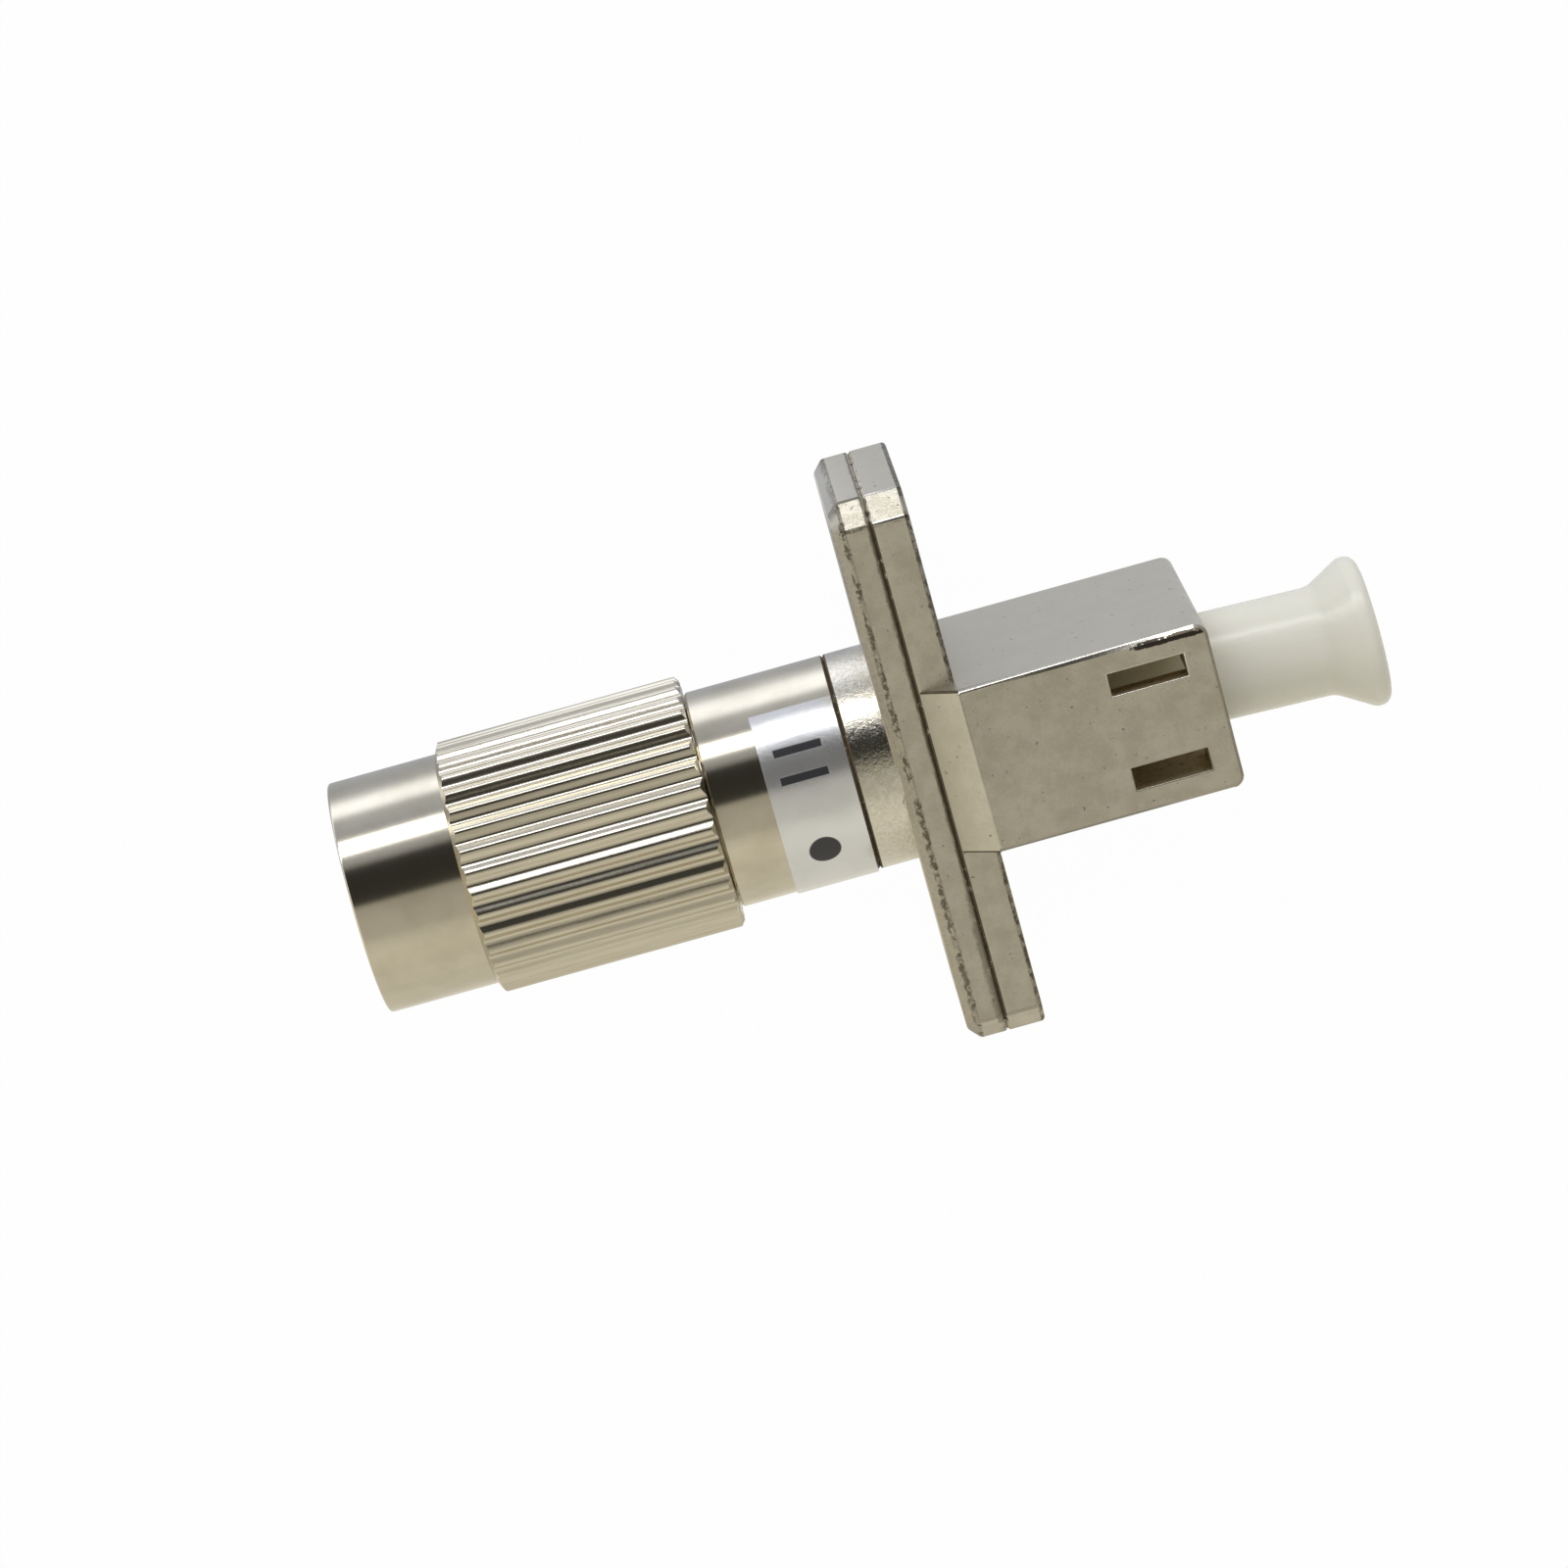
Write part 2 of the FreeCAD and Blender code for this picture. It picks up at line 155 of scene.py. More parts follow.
def colour(name, value, description):
    """A colour property."""
    return FloatVectorProperty(name=name, description=description, default=value, size=3, min=0.0, max=1.0,
                               subtype="COLOR")


class AdapterSizes(bpy.types.PropertyGroup):
    """Sizes of the visible forms that the solids' boxes don't give."""
    knurl_teeth: IntProperty(name="Knurl teeth", description="Teeth round the coupling nut", default=37,
                             min=8)
    knurl_turn: angle("Knurl turn", 8.1, "Where the first tooth is, from +Y towards +Z")
    knurl_rise: length("Knurl rise", 0.42, "Height of the knurl over the nut's collar")
    knurl_depth: length("Knurl depth", 0.2, "Depth of the grooves between the teeth")
    knurl_front_bevel: length("Knurl front bevel", 0.22, "Length of the bevel from the collar to the knurl")
    knurl_rear_bevel: length("Knurl rear bevel", 0.16, "Length of the bevel at the knurl's other end")
    knurl_length: length("Knurl length", 9.8, "Length of the knurl along the nut")
    collar_wall: length("Collar wall", 0.58, "Wall of the nut's collar round the thread")
    collar_edge: length("Collar edge", 0.1, "Chamfer outside the nut's open end")
    mouth_chamfer: length("Mouth chamfer", 0.25, "Chamfer inside the nut's open end")
    thread_major: length("Thread radius", 4.0, "Outer radius of the nut's inner thread")
    thread_minor: length("Thread inner radius", 3.594, "Inner radius of the nut's inner thread")
    thread_pitch: length("Thread pitch", 0.75, "Advance of the thread in one turn")
    thread_length: length("Thread length", 6.5, "Length of the threaded bore")
    nut_bore: length("Nut bore", 3.644, "Radius of the nut's plain bore")
    ring_room: length("Ring room", 0.05, "Clearance round the retaining ring in its groove")
    boss_wall: length("Boss wall", 1.0, "Wall of the flange's boss round the barrel's spigot")
    barrel_chamfer: length("Barrel chamfer", 0.1, "Chamfer at both ends of the barrel")
    neck_radius: length("Neck radius", 3.194, "Radius of the plug's neck in the barrel")
    neck_socket: length("Neck socket", 3.1, "Depth of the barrel's socket for the plug's neck")
    barrel_bore: length("Barrel bore", 1.6, "Radius of the barrel's inner bore")
    end_wall: length("End wall", 0.5, "Thickness of the barrel's end wall")
    end_hole: length("End hole", 0.75, "Radius of the hole in the barrel's end wall")
    label_start: angle("Label start", 36.0, "Where the label's wrap begins, from +Y towards +Z")
    label_sweep: angle("Label sweep", 200.0, "How far the label wraps round the barrel")
    cast_edge: length("Cast edge", 0.09, "Rounding of the cast pieces' edges")
    parting_bevel: length("Parting bevel", 0.1, "Depth of the groove between the two flange plates")
    flange_corner: length("Flange corner", 0.95, "How much is cut off the flange's corners")
    plate_thick: length("Plate thickness", 1.5, "Thickness of each flange plate")
    front_bevel: length("Front bevel", 0.45, "Bevel round the flange's plug side")
    rear_bevel: length("Rear bevel", 0.12, "Bevel round the flange's port side")
    latch_half: length("Latch half width", 2.35, "Half of the width that the latch port is hollowed to")
    mouth_corner: length("Mouth corner", 0.45, "Rounding of the latch port's two upright mouth edges")
    port_half: length("Port half width", 3.3, "Half of the latch port's width")
    port_edge: length("Port edge", 0.12, "Chamfer along the latch port's edges")
    port_rub: length("Port rub", 0.18, "That chamfer beside the latch face, where it is rubbed wider")
    turned_edge: length("Turned edge", 0.04, "Rounding of the turned pieces' edges")
    grip_slope: angle("Grip slope", 30.0, "Slope of the dust cap's flare")
    grip_neck: length("Grip neck", 1.0, "Radius of the hollow curve before the flare")
    grip_land: length("Grip land", 0.2, "Straight length of the flare's rim")
    grip_chamfer: length("Grip chamfer", 0.45, "Rounding of the cap's outer end")
    grip_wall: length("Grip wall", 0.7, "Wall of the cap's hollow end")
    grip_hollow: length("Grip hollow", 4.2, "Depth of the cap's hollow end")
    cap_radius: length("Cap radius", 2.15, "Radius of the cap's tube")
    cap_bore: length("Cap bore", 1.4, "Radius of the bore that slips over the sleeve holder")
    cap_floor: length("Cap floor", 2.5, "Depth of that bore")
    cap_droop: angle("Cap droop", 2.2, "How far the loose cap hangs towards the lower ear")
    spring_wire: length("Spring wire", 0.4, "Wire diameter of the ferrule spring")
    spring_turns: IntProperty(name="Spring turns", description="Turns of the ferrule spring", default=6,
                              min=2)
    float_travel: length("Float travel", 0.8, "How far the ferrules push the spring in")


class AdapterColours(bpy.types.PropertyGroup):
    """Colours of the finishes."""
    nickel: colour("Nickel", (0.68, 0.63, 0.52), "Bright nickel plate, slightly warm")
    nickel_dark: colour("Dark nickel", (0.60, 0.55, 0.44), "The plate where it is duller")
    cast: colour("Cast", (0.66, 0.62, 0.525), "Satin plate on the castings")
    cast_dark: colour("Dark cast", (0.55, 0.51, 0.42), "Stained grain of the castings")
    # Painted shade: darker plate on the flange's bevels, the port's ramp and its lower edges
    cast_worn: colour("Worn cast", (0.4, 0.37, 0.3), "Plate on the flange's bevels")
    # Painted shade: darker brown plate inside the latch port
    inside: colour("Inside", (0.56, 0.47, 0.32), "Dull brown plate inside the latch port")
    # Painted shade on the end of the dust cap that sits in the port
    smear: colour("Smear", (0.8, 0.745, 0.5), "Grime on the end of the dust cap that sits in the port")
    pit: colour("Pit", (0.06, 0.05, 0.04), "Small pits in the castings")
    # Also the colour of the painted shadow along the ramp's upper edges
    dirt: colour("Dirt", (0.105, 0.083, 0.05), "Brown dirt in the seam and on worn edges")
    edge: colour("Edge", (0.80, 0.77, 0.69), "Brighter plate on the castings' edges")
    paper: colour("Paper", (0.83, 0.83, 0.84), "Label paper")
    ink: colour("Ink", (0.035, 0.035, 0.04), "Marks printed on the label")
    cap: colour("Cap", (0.84, 0.828, 0.748), "Ivory plastic of the dust cap")
    ceramic: colour("Ceramic", (0.90, 0.89, 0.85), "White ceramic of the ferrules")
    steel: colour("Steel", (0.52, 0.52, 0.51), "Drawn steel")
    glass: colour("Glass", (0.92, 0.96, 0.98), "Clear fibre")
    floor: colour("Floor", (0.82, 0.81, 0.79), "Pale floor")
    light_warm: colour("Warm light", (1.0, 0.96, 0.83), "Light from the side of the flange's lower ear")
    light_cool: colour("Cool light", (0.86, 0.9, 1.0), "Light from the side of its upper ear")


class Wire:
    """One socket of a node tree: Python expressions on it add Math nodes."""

    def __init__(self, graph, socket):
        self.graph = graph
        self.socket = socket

    def out(self, name):
        """Another output of the same node."""
        return Wire(self.graph, self.socket.node.outputs[name])

    def math(self, operation, *values):
        """A Math node with this wire as its first value."""
        return self.graph.math(operation, self, *values)

    def __add__(self, other):
        return self.math("ADD", other)

    def __sub__(self, other):
        return self.math("SUBTRACT", other)

    def __rsub__(self, other):
        return self.graph.math("SUBTRACT", other, self)

    def __mul__(self, other):
        return self.math("MULTIPLY", other)

    def __truediv__(self, other):
        return self.math("DIVIDE", other)

    def __rtruediv__(self, other):
        return self.graph.math("DIVIDE", other, self)

    def __pow__(self, other):
        return self.math("POWER", other)

    def __gt__(self, other):
        return self.math("GREATER_THAN", other)

    def __lt__(self, other):
        return self.math("LESS_THAN", other)

    def __abs__(self):
        return self.math("ABSOLUTE")

    __radd__ = __add__
    __rmul__ = __mul__


class Graph:
    """A node tree that is written as expressions."""

    def __init__(self, tree):
        self.tree = tree
        tree.nodes.clear()

    def add(self, kind, settings=None, sockets=None, output=0):
        """A node of that kind: its settings come first, then the values or links of its sockets."""
        node = self.tree.nodes.new(kind)
        for name, value in (settings or {}).items():
            if name == "stops":
                self.set_stops(node.color_ramp, value)
            else:
                setattr(node, name, value)
        for key, value in (sockets or {}).items():
            socket = node.inputs[key]
            if isinstance(value, Wire):
                self.tree.links.new(value.socket, socket)
            else:
                socket.default_value = value
        return Wire(self, node.outputs[output]) if node.outputs else node

    @staticmethod
    def set_stops(ramp, stops):
        """Gives a colour ramp its (position, grey) stops."""
        while len(ramp.elements) < len(stops):
            ramp.elements.new(1.0)
        for element, (position, grey) in zip(ramp.elements, stops):
            element.position = position
            element.color = (grey, grey, grey, 1.0)

    def interface(self, inputs, result):
        """Gives a geometry tree its inputs, each a name and a kind, and the geometry that it returns."""
        for name, kind in inputs.items():
            self.tree.interface.new_socket(name, in_out="INPUT", socket_type="NodeSocket" + kind)
        self.tree.interface.new_socket(result, in_out="OUTPUT", socket_type="NodeSocketGeometry")

    def math(self, operation, *values):
        """A Math node on numbers or wires."""
        return self.add("ShaderNodeMath", {"operation": operation}, dict(enumerate(values)))

    def vector(self, operation, *values):
        """A Vector Math node on vectors or wires."""
        return self.add("ShaderNodeVectorMath", {"operation": operation}, dict(enumerate(values)))

    def mix(self, share, first, second):
        """One colour turning into another."""
        ends = [c if isinstance(c, Wire) else (*c, 1.0) for c in (first, second)]
        return self.add("ShaderNodeMix", {"data_type": "RGBA"}, {0: share, 6: ends[0], 7: ends[1]}, 2)

    def ramp(self, value, low, high):
        """0 below low and 1 above high, with a smooth rise between."""
        return self.add("ShaderNodeMapRange", {"interpolation_type": "SMOOTHSTEP"},
                        {"Value": value, "From Min": low, "From Max": high})

    def curve(self, value, stops):
        """A level that goes straight from each (value, level) stop to the next."""
        first, last = stops[0][0], stops[-1][0]
        share = self.add("ShaderNodeMapRange", {}, {"Value": value, "From Min": first, "From Max": last})
        scaled = [((place - first) / (last - first), level) for place, level in stops]
        return self.add("ShaderNodeValToRGB", {"stops": scaled}, {0: share})

    def millimetres(self, stretch=(1.0, 1.0, 1.0)):
        """The piece's own coordinates in millimetres, stretched along each axis."""
        place = self.add("ShaderNodeTexCoord", output="Object")
        return self.vector("MULTIPLY", place, tuple(s / MM for s in stretch))

    def split(self, vector):
        """A vector's parts: X, with Y and Z as its other outputs."""
        return self.add("ShaderNodeSeparateXYZ", {}, {0: vector})

    def facing(self):
        """The parts of the way that the surface faces."""
        return self.split(self.add("ShaderNodeTexCoord", output="Normal"))

    def noise(self, place, scale, detail=3.0, rough=0.55):
        """Noise at a place in millimetres, with about so many swells a millimetre."""
        return self.add("ShaderNodeTexNoise", {}, {"Vector": place, "Scale": scale, "Detail": detail,
                                                   "Roughness": rough})

    def bump(self, height, depth_mm):
        """A normal bent as if the height, from 0 to 1, were that deep."""
        return self.add("ShaderNodeBump", {}, {"Height": height, "Distance": depth_mm * MM})

    def shade(self, **sockets):
        """The principled shader, with its sockets named in words joined by underscores."""
        named = {key.replace("_", " "): value for key, value in sockets.items()}
        shader = self.add("ShaderNodeBsdfPrincipled", {}, named)
        self.add("ShaderNodeOutputMaterial", {}, {"Surface": shader})


def material_graph(name):
    """A new material and the graph that makes it."""
    material = bpy.data.materials.new(name)
    material.use_nodes = True
    return material, Graph(material.node_tree)


def finish_named(name):
    """The finish of that name, made when it is first asked for."""
    material = bpy.data.materials.get(name)
    if not material:
        material, g = material_graph(name)
        FINISHES[name](g, bpy.context.scene.adapter_colours)
    return material


def nickel_turned(g, tint):
    """Bright plate on turned metal, with fine lines round the axis."""
    cloud = g.noise(g.millimetres(), 0.5)
    lines = g.noise(g.millimetres((22.0, 0.35, 0.35)), 1.0, 2.0)
    g.shade(Base_Color=g.mix(g.ramp(cloud, 0.35, 0.75), tint.nickel, tint.nickel_dark),
            Metallic=1.0,
            Roughness=0.10 + lines * 0.05 + cloud * 0.04,
            Normal=g.bump(lines, 0.0025))


def nickel_knurled(g, tint):
    """The same plate on the knurl, dragged along the teeth by the tool."""
    drag = g.noise(g.millimetres((0.5, 9.0, 9.0)), 1.0, 3.0)
    chatter = g.noise(g.millimetres((7.0, 1.5, 1.5)), 1.0, 2.0)
    g.shade(Base_Color=g.mix(g.ramp(drag, 0.4, 0.8), tint.nickel, tint.nickel_dark),
            Metallic=1.0,
            Roughness=0.17 + drag * 0.1,
            Normal=g.bump(drag * 0.5 + chatter * 0.9, 0.007))


def nickel_cast(g, tint):
    """Satin plate on a casting: fine grain, soft stains, a few small pits, and dirt by the port's mouth.
    It is smoother on the upper side, coarse on the flange's corners, and painted shade darkens the ramp,
    most at its low end."""
    sizes = bpy.context.scene.adapter_sizes
    place = g.millimetres()
    grain = g.noise(place, 9.0, *SANDY)
    cloud = g.noise(place, 1.1, 4.0, 0.6)
    pits = g.ramp(g.noise(place, 3.6, 2.0), 0.69, 0.75) * 0.5
    facing = g.facing()
    corner = g.ramp(facing.out("Y"), 0.6, 0.68) * (1.0 - g.ramp(facing.out("Y"), 0.74, 0.82))
    rough = 1.0 + corner * 3.0 - g.ramp(facing.out("Y"), 0.8, 0.95) * 0.7
    stain = (g.ramp(grain * 0.35 + cloud * 0.65, 0.36, 0.64) - 0.5) * rough + 0.5
    base = g.mix(stain, tint.cast_dark, tint.cast)
    # Painted shade on slanted faces towards the plug, such as the ramp, deepest at its low end
    slope = g.ramp(0.0 - facing, 0.4, 0.6) * g.ramp(facing, -0.95, -0.8)
    up_the_ramp = g.ramp(g.split(place), -sizes.plate_thick / MM, 0.0)
    base = g.mix(slope * (0.62 - up_the_ramp * 0.4), base, tint.cast_worn)
    mouth = mouth_edge(g, place)
    dirt = g.ramp(g.noise(place, 2.4, *CRUMBLY) + mouth * 0.48, 0.8, 0.87)
    dirt = dirt.math("MAXIMUM", edge_wear(g, place))
    g.shade(Base_Color=g.mix(dirt * (WEAR_COVER + mouth * (1 - WEAR_COVER)), g.mix(pits, base, tint.pit),
                             g.mix(mouth, tint.dirt, tint.pit)),
            Metallic=1.0,
            Roughness=0.31 + grain * 0.1 + cloud * 0.1 + dirt * 0.2,
            Normal=g.bump((grain * 0.5 + cloud * 0.4) * rough - pits - dirt * 0.5, 0.008))


def mouth_edge(g, place):
    """1 on the latch face along its upper edge near the mouth, 0 elsewhere, from a place in millimetres."""
    edge = bpy.context.scene.adapter_sizes.port_half / MM
    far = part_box("port_housing")[1] / MM
    along = g.split(place)
    beside = g.ramp(along.out("Y"), edge - 0.46, edge - 0.3)
    on_face = g.ramp(along.out("Z"), far.z - 0.11, far.z - 0.06)
    return beside * on_face * g.ramp(along, far.x - 3.9, far.x - 2.3)


def edge_wear(g, place):
    """Where the plate has worn off in ragged lines along the flange's edges, with a darker band beside its
    seam that widens on the lower ear, from a place in millimetres."""
    sizes = bpy.context.scene.adapter_sizes
    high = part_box("front_flange")[1] / MM
    front = high.x + (sizes.front_bevel - sizes.plate_thick) / MM
    rear = high.x + (sizes.plate_thick - sizes.rear_bevel) / MM
    side = sizes.port_half / MM
    along = g.split(place)
    y, z = abs(along.out("Y")), abs(along.out("Z"))
    across = along + g.noise(place, 2.6, *SANDY) * 0.4 - 0.2
    lines = g.ramp(across, front - 0.17, front - 0.08) * (1.0 - g.ramp(across, front + 0.02, front + 0.12))
    back = g.ramp(across, rear - 0.06, rear) * (1.0 - g.ramp(across, rear + 0.1, rear + 0.2))
    lines = lines + back * g.ramp(y, side, side + 0.1) * (along < -0.02)
    corner = high.y - sizes.flange_corner / MM
    across_y = along.out("Y") + g.noise(place, 1.5) * 0.2 - 0.1
    at_corner = g.ramp(across_y, corner - 0.14, corner - 0.06) * (1.0 - g.ramp(y, corner, corner + 0.04))
    lines = lines + at_corner
    lines = lines * g.ramp(g.noise(place, 4.2, 3.0, 0.6), 0.4, 0.55)
    # A darker band beside the seam, wider on the lower ear
    lower = g.ramp(0.0 - along.out("Y"), 4.0, 7.0) * 0.16
    fringe = g.ramp(across + lower, high.x - 0.24, high.x - 0.06) * (along < high.x) * 0.6
    rim = g.ramp(y, high.y - 0.4, high.y - 0.3).math("MAXIMUM", g.ramp(z, high.z - 0.4, high.z - 0.3))
    return lines.math("MAXIMUM", fringe) * rim * g.ramp(g.noise(place, 1.1, 3.0), 0.34, 0.5)


def nickel_edge(g, tint):
    """The latch port's rounded edges: bright and rough, with a few chips and dirt by the mouth, and painted
    shade on the lower ones.
    """
    place = g.millimetres()
    grain = g.noise(place, 7.0, *SANDY)
    mouth = mouth_edge(g, place)
    chips = g.ramp(g.noise(place, 2.4, *CRUMBLY) + mouth * 0.3, 0.7, 0.76)
    base = g.mix(g.ramp(grain, 0.35, 0.65), tint.cast, tint.edge)
    # Painted shade: the edges on the lower side are darker
    upper = g.ramp(g.split(place).out("Y"), -2.0, 0.0)
    base = g.mix(upper, tint.cast_worn, base)
    g.shade(Base_Color=g.mix(chips * (WEAR_COVER + mouth * (1 - WEAR_COVER)), base,
                             g.mix(mouth, tint.dirt, tint.pit)),
            Metallic=1.0,
            Roughness=0.2 + grain * 0.12,
            Normal=g.bump(grain * 0.3 - chips, 0.009))


def worn_edge(g, tint):
    """The flange plates' bevels: darker plate as painted shade, darker still at the upper end, worn off
    along the edges.
    """
    place = g.millimetres()
    grain = g.noise(place, 6.0, *SANDY)
    wear = edge_wear(g, place)
    base = g.mix(g.ramp(grain, 0.35, 0.65), tint.cast_worn, [c * 1.2 for c in tint.cast_worn])
    facing = g.facing()
    # Painted shade: the bevels that face the upper ear are darker
    base = g.mix(g.ramp(facing.out("Y"), 0.4, 0.65), base, [c * 0.6 for c in tint.cast_worn])
    g.shade(Base_Color=g.mix(wear * WEAR_COVER, base, tint.dirt),
            Metallic=1.0,
            Roughness=0.36 + grain * 0.16,
            Normal=g.bump(grain * 0.5 - wear, 0.03))


def seam_dirt(g, tint):
    """Brown dirt in the flange plates' groove, thinner at the flange's ends, and painted shadow by the
    ramp's upper edges.
    """
    place = g.millimetres()
    crumbs = g.noise(place, 3.0, *CRUMBLY)
    thin_from, thin_to = 9.9, 10.6
    ends = g.ramp(abs(g.split(place).out("Y")), thin_from, thin_to)
    cover = g.ramp(crumbs - ends * 0.2, 0.3, 0.4)
    dirt = g.mix(g.ramp(crumbs, 0.5, 0.8), tint.dirt, tint.pit)
    g.shade(Base_Color=g.mix(cover, tint.cast_dark, dirt), Metallic=1.0 - cover,
            Roughness=0.4 + crumbs * 0.4, Specular_IOR_Level=0.2, Normal=g.bump(crumbs, 0.03))


def cast_inside(g, tint):
    """Darker brown plate inside the latch port as painted shade of the recess, with darker patches."""
    crumbs = g.noise(g.millimetres(), 2.6, *CRUMBLY)
    g.shade(Base_Color=g.mix(g.ramp(crumbs, 0.5, 0.8), tint.inside, tint.dirt), Metallic=1.0,
            Roughness=0.45 + crumbs * 0.2, Normal=g.bump(crumbs, 0.02))


def nickel_blasted(g, tint):
    """The boss: turned plate with a fine sandy grain."""
    place = g.millimetres()
    grain = g.noise(place, 5.5, 4.0, 0.75)
    cloud = g.noise(place, 1.2, 3.0)
    g.shade(Base_Color=g.mix(g.ramp(grain, 0.35, 0.7), tint.nickel, tint.edge),
            Metallic=1.0,
            Roughness=0.1 + cloud * 0.08,
            Normal=g.bump(grain, 0.02))


def steel_drawn(g, tint):
    """Plain bright steel."""
    streaks = g.noise(g.millimetres((1.0, 6.0, 6.0)), 1.0)
    g.shade(Base_Color=g.mix(streaks, tint.steel, tint.cast_dark), Metallic=1.0,
            Roughness=0.2 + streaks * 0.15, Normal=g.bump(streaks, 0.004))


def ceramic_white(g, tint):
    """Polished ceramic."""
    cloud = g.noise(g.millimetres(), 1.4)
    g.shade(Base_Color=g.mix(cloud, tint.ceramic, tint.paper), Roughness=0.1 + cloud * 0.08,
            Subsurface_Weight=0.1, Subsurface_Radius=(0.4 * MM, 0.4 * MM, 0.35 * MM), Coat_Weight=0.3)


def clear_glass(g, tint):
    """Clear glass fibre."""
    haze = g.noise(g.millimetres(), 4.0)
    g.shade(Base_Color=(*tint.glass, 1.0), Roughness=0.03 + haze * 0.05, Transmission_Weight=1.0, IOR=1.46)


def sticker_paper(g, tint):
    """Glossy white sticker with plain printed marks, placed on its own UV map."""
    flat = g.split(g.add("ShaderNodeUVMap", {"uv_map": "sticker"}))
    along, across = flat.out("X"), flat.out("Y")
    fibres = g.noise(g.millimetres(), 6.0, *CRUMBLY)
    cloud = g.noise(g.millimetres(), 0.6)
    paper = g.mix(g.ramp(cloud, 0.3, 0.8), tint.paper, [c * 0.93 for c in tint.paper])
    ink = printed_marks(g, along, across)
    g.shade(Base_Color=g.mix(ink, paper, tint.ink), Metallic=0.84 - ink * 0.84,
            Roughness=0.2 + fibres * 0.08, Normal=g.bump(fibres, 0.003))


def printed_marks(g, along, across):
    """Where the ink is: a dot and two bars, from places in millimetres along and across the label."""
    middle, dot_place, dot_radius = 1.5, 6.1, 0.62
    bar_places, bar_half, stroke = (1.8, 2.9), 0.95, 0.17
    soft = 0.03
    away = ((along - dot_place) ** 2.0 + (across - middle) ** 2.0) ** 0.5
    ink = 1.0 - g.ramp(away, dot_radius - soft, dot_radius + soft)
    for place in bar_places:
        inside = 1.0 - g.ramp(abs(along - place), stroke - soft, stroke + soft)
        within = 1.0 - g.ramp(abs(across - middle), bar_half - soft, bar_half + soft)
        ink = ink.math("MAXIMUM", inside * within)
    return ink


def ivory_plastic(g, tint):
    """Ivory moulded plastic that lets a little light in, with painted shade on the end that sits in the
    port.
    """
    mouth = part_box("port_housing")[1].x / MM
    place = g.millimetres()
    cloud = g.noise(place, 0.5)
    skin = g.noise(g.millimetres((0.3, 3.5, 3.5)), 1.0)
    ragged_edge = g.noise(place, 0.9, *CRUMBLY) * 2.4
    # Painted shade: the end that sits in the port turns olive, with a ragged edge
    shaded_in_port = 1.0 - g.ramp(g.split(place) + ragged_edge, mouth - 0.6, mouth + 2.2)
    clean = g.mix(cloud * 0.35, tint.cap, [c * 0.94 for c in tint.cap])
    g.shade(Base_Color=g.mix(shaded_in_port * 0.8, clean, tint.smear),
            Roughness=0.16 + skin * 0.12, Subsurface_Weight=0.35,
            Subsurface_Radius=(1.2 * MM, 1.1 * MM, 0.8 * MM), Normal=g.bump(skin, 0.012))


FINISHES = {finish.__name__: finish for finish in (
    nickel_turned, nickel_knurled, nickel_cast, nickel_edge, worn_edge, seam_dirt, cast_inside,
    nickel_blasted, steel_drawn, ceramic_white, clear_glass, sticker_paper, ivory_plastic)}


def soften(corners, steps=ROUND_STEPS):
    """Closed outline through (x, y, radius) corners, each rounded to its own radius."""
    points = []
    for index, (x, y, radius) in enumerate(corners):
        here = Vector((x, y))
        if radius == 0:
            points.append(here)
            continue
        before = (Vector(corners[index - 1][:2]) - here).normalized()
        after = (Vector(corners[(index + 1) % len(corners)][:2]) - here).normalized()
        half = before.angle(after) / 2
        centre = here + (before + after).normalized() * radius / math.sin(half)
        first = (here + before * radius / math.tan(half) - centre).normalized()
        last = (here + after * radius / math.tan(half) - centre).normalized()
        points += [centre + first.slerp(last, step / steps) * radius for step in range(steps + 1)]
    return points


def wrap_columns(bm, columns, closed):
    """Faces between neighbouring columns of points, each column a closed outline."""
    made = [[bm.verts.new(point) for point in column] for column in columns]
    pairs = list(zip(made, made[1:] + made[:1])) if closed else list(zip(made, made[1:]))
    faces = []
    for here, there in pairs:
        for index, vert in enumerate(here):
            after = (index + 1) % len(here)
            faces.append(bm.faces.new((vert, here[after], there[after], there[index])))
    return faces


@contextmanager
def edited(mesh, source=None):
    """The mesh open in bmesh, filled from another if one is given: what is done there is written back."""
    bm = bmesh.new()
    bm.from_mesh(source or mesh)
    yield bm
    bm.to_mesh(mesh)
    bm.free()


def close(bm):
    """Merges the points that meet and turns every face outwards."""
    bmesh.ops.remove_doubles(bm, verts=bm.verts, dist=MERGE)
    bmesh.ops.recalc_face_normals(bm, faces=bm.faces)


def about_axis(x, radius, turn):
    """A point at that place along the optical axis, turned from +Y towards +Z."""
    return Vector((x, radius * math.cos(turn), radius * math.sin(turn)))


def lathe(name, outline):
    """A turned mesh from its closed (x, radius) outline."""
    mesh = bpy.data.meshes.new(name)
    turns = [2 * math.pi * step / RING_SEGMENTS for step in range(RING_SEGMENTS)]
    with edited(mesh) as bm:
        wrap_columns(bm, [[about_axis(x, r, turn) for x, r in outline] for turn in turns], True)
        close(bm)
    return mesh


def plain_mesh(obj):
    """Takes the object's modifiers into a plain mesh."""
    graph = bpy.context.evaluated_depsgraph_get()
    mesh = bpy.data.meshes.new_from_object(obj.evaluated_get(graph), preserve_all_data_layers=True,
                                           depsgraph=graph)
    obj.modifiers.clear()
    obj.data = mesh


def new_object(name, data):
    """An object in the scene that shows that mesh, light or camera."""
    obj = bpy.data.objects.new(name, data)
    bpy.context.scene.collection.objects.link(obj)
    return obj


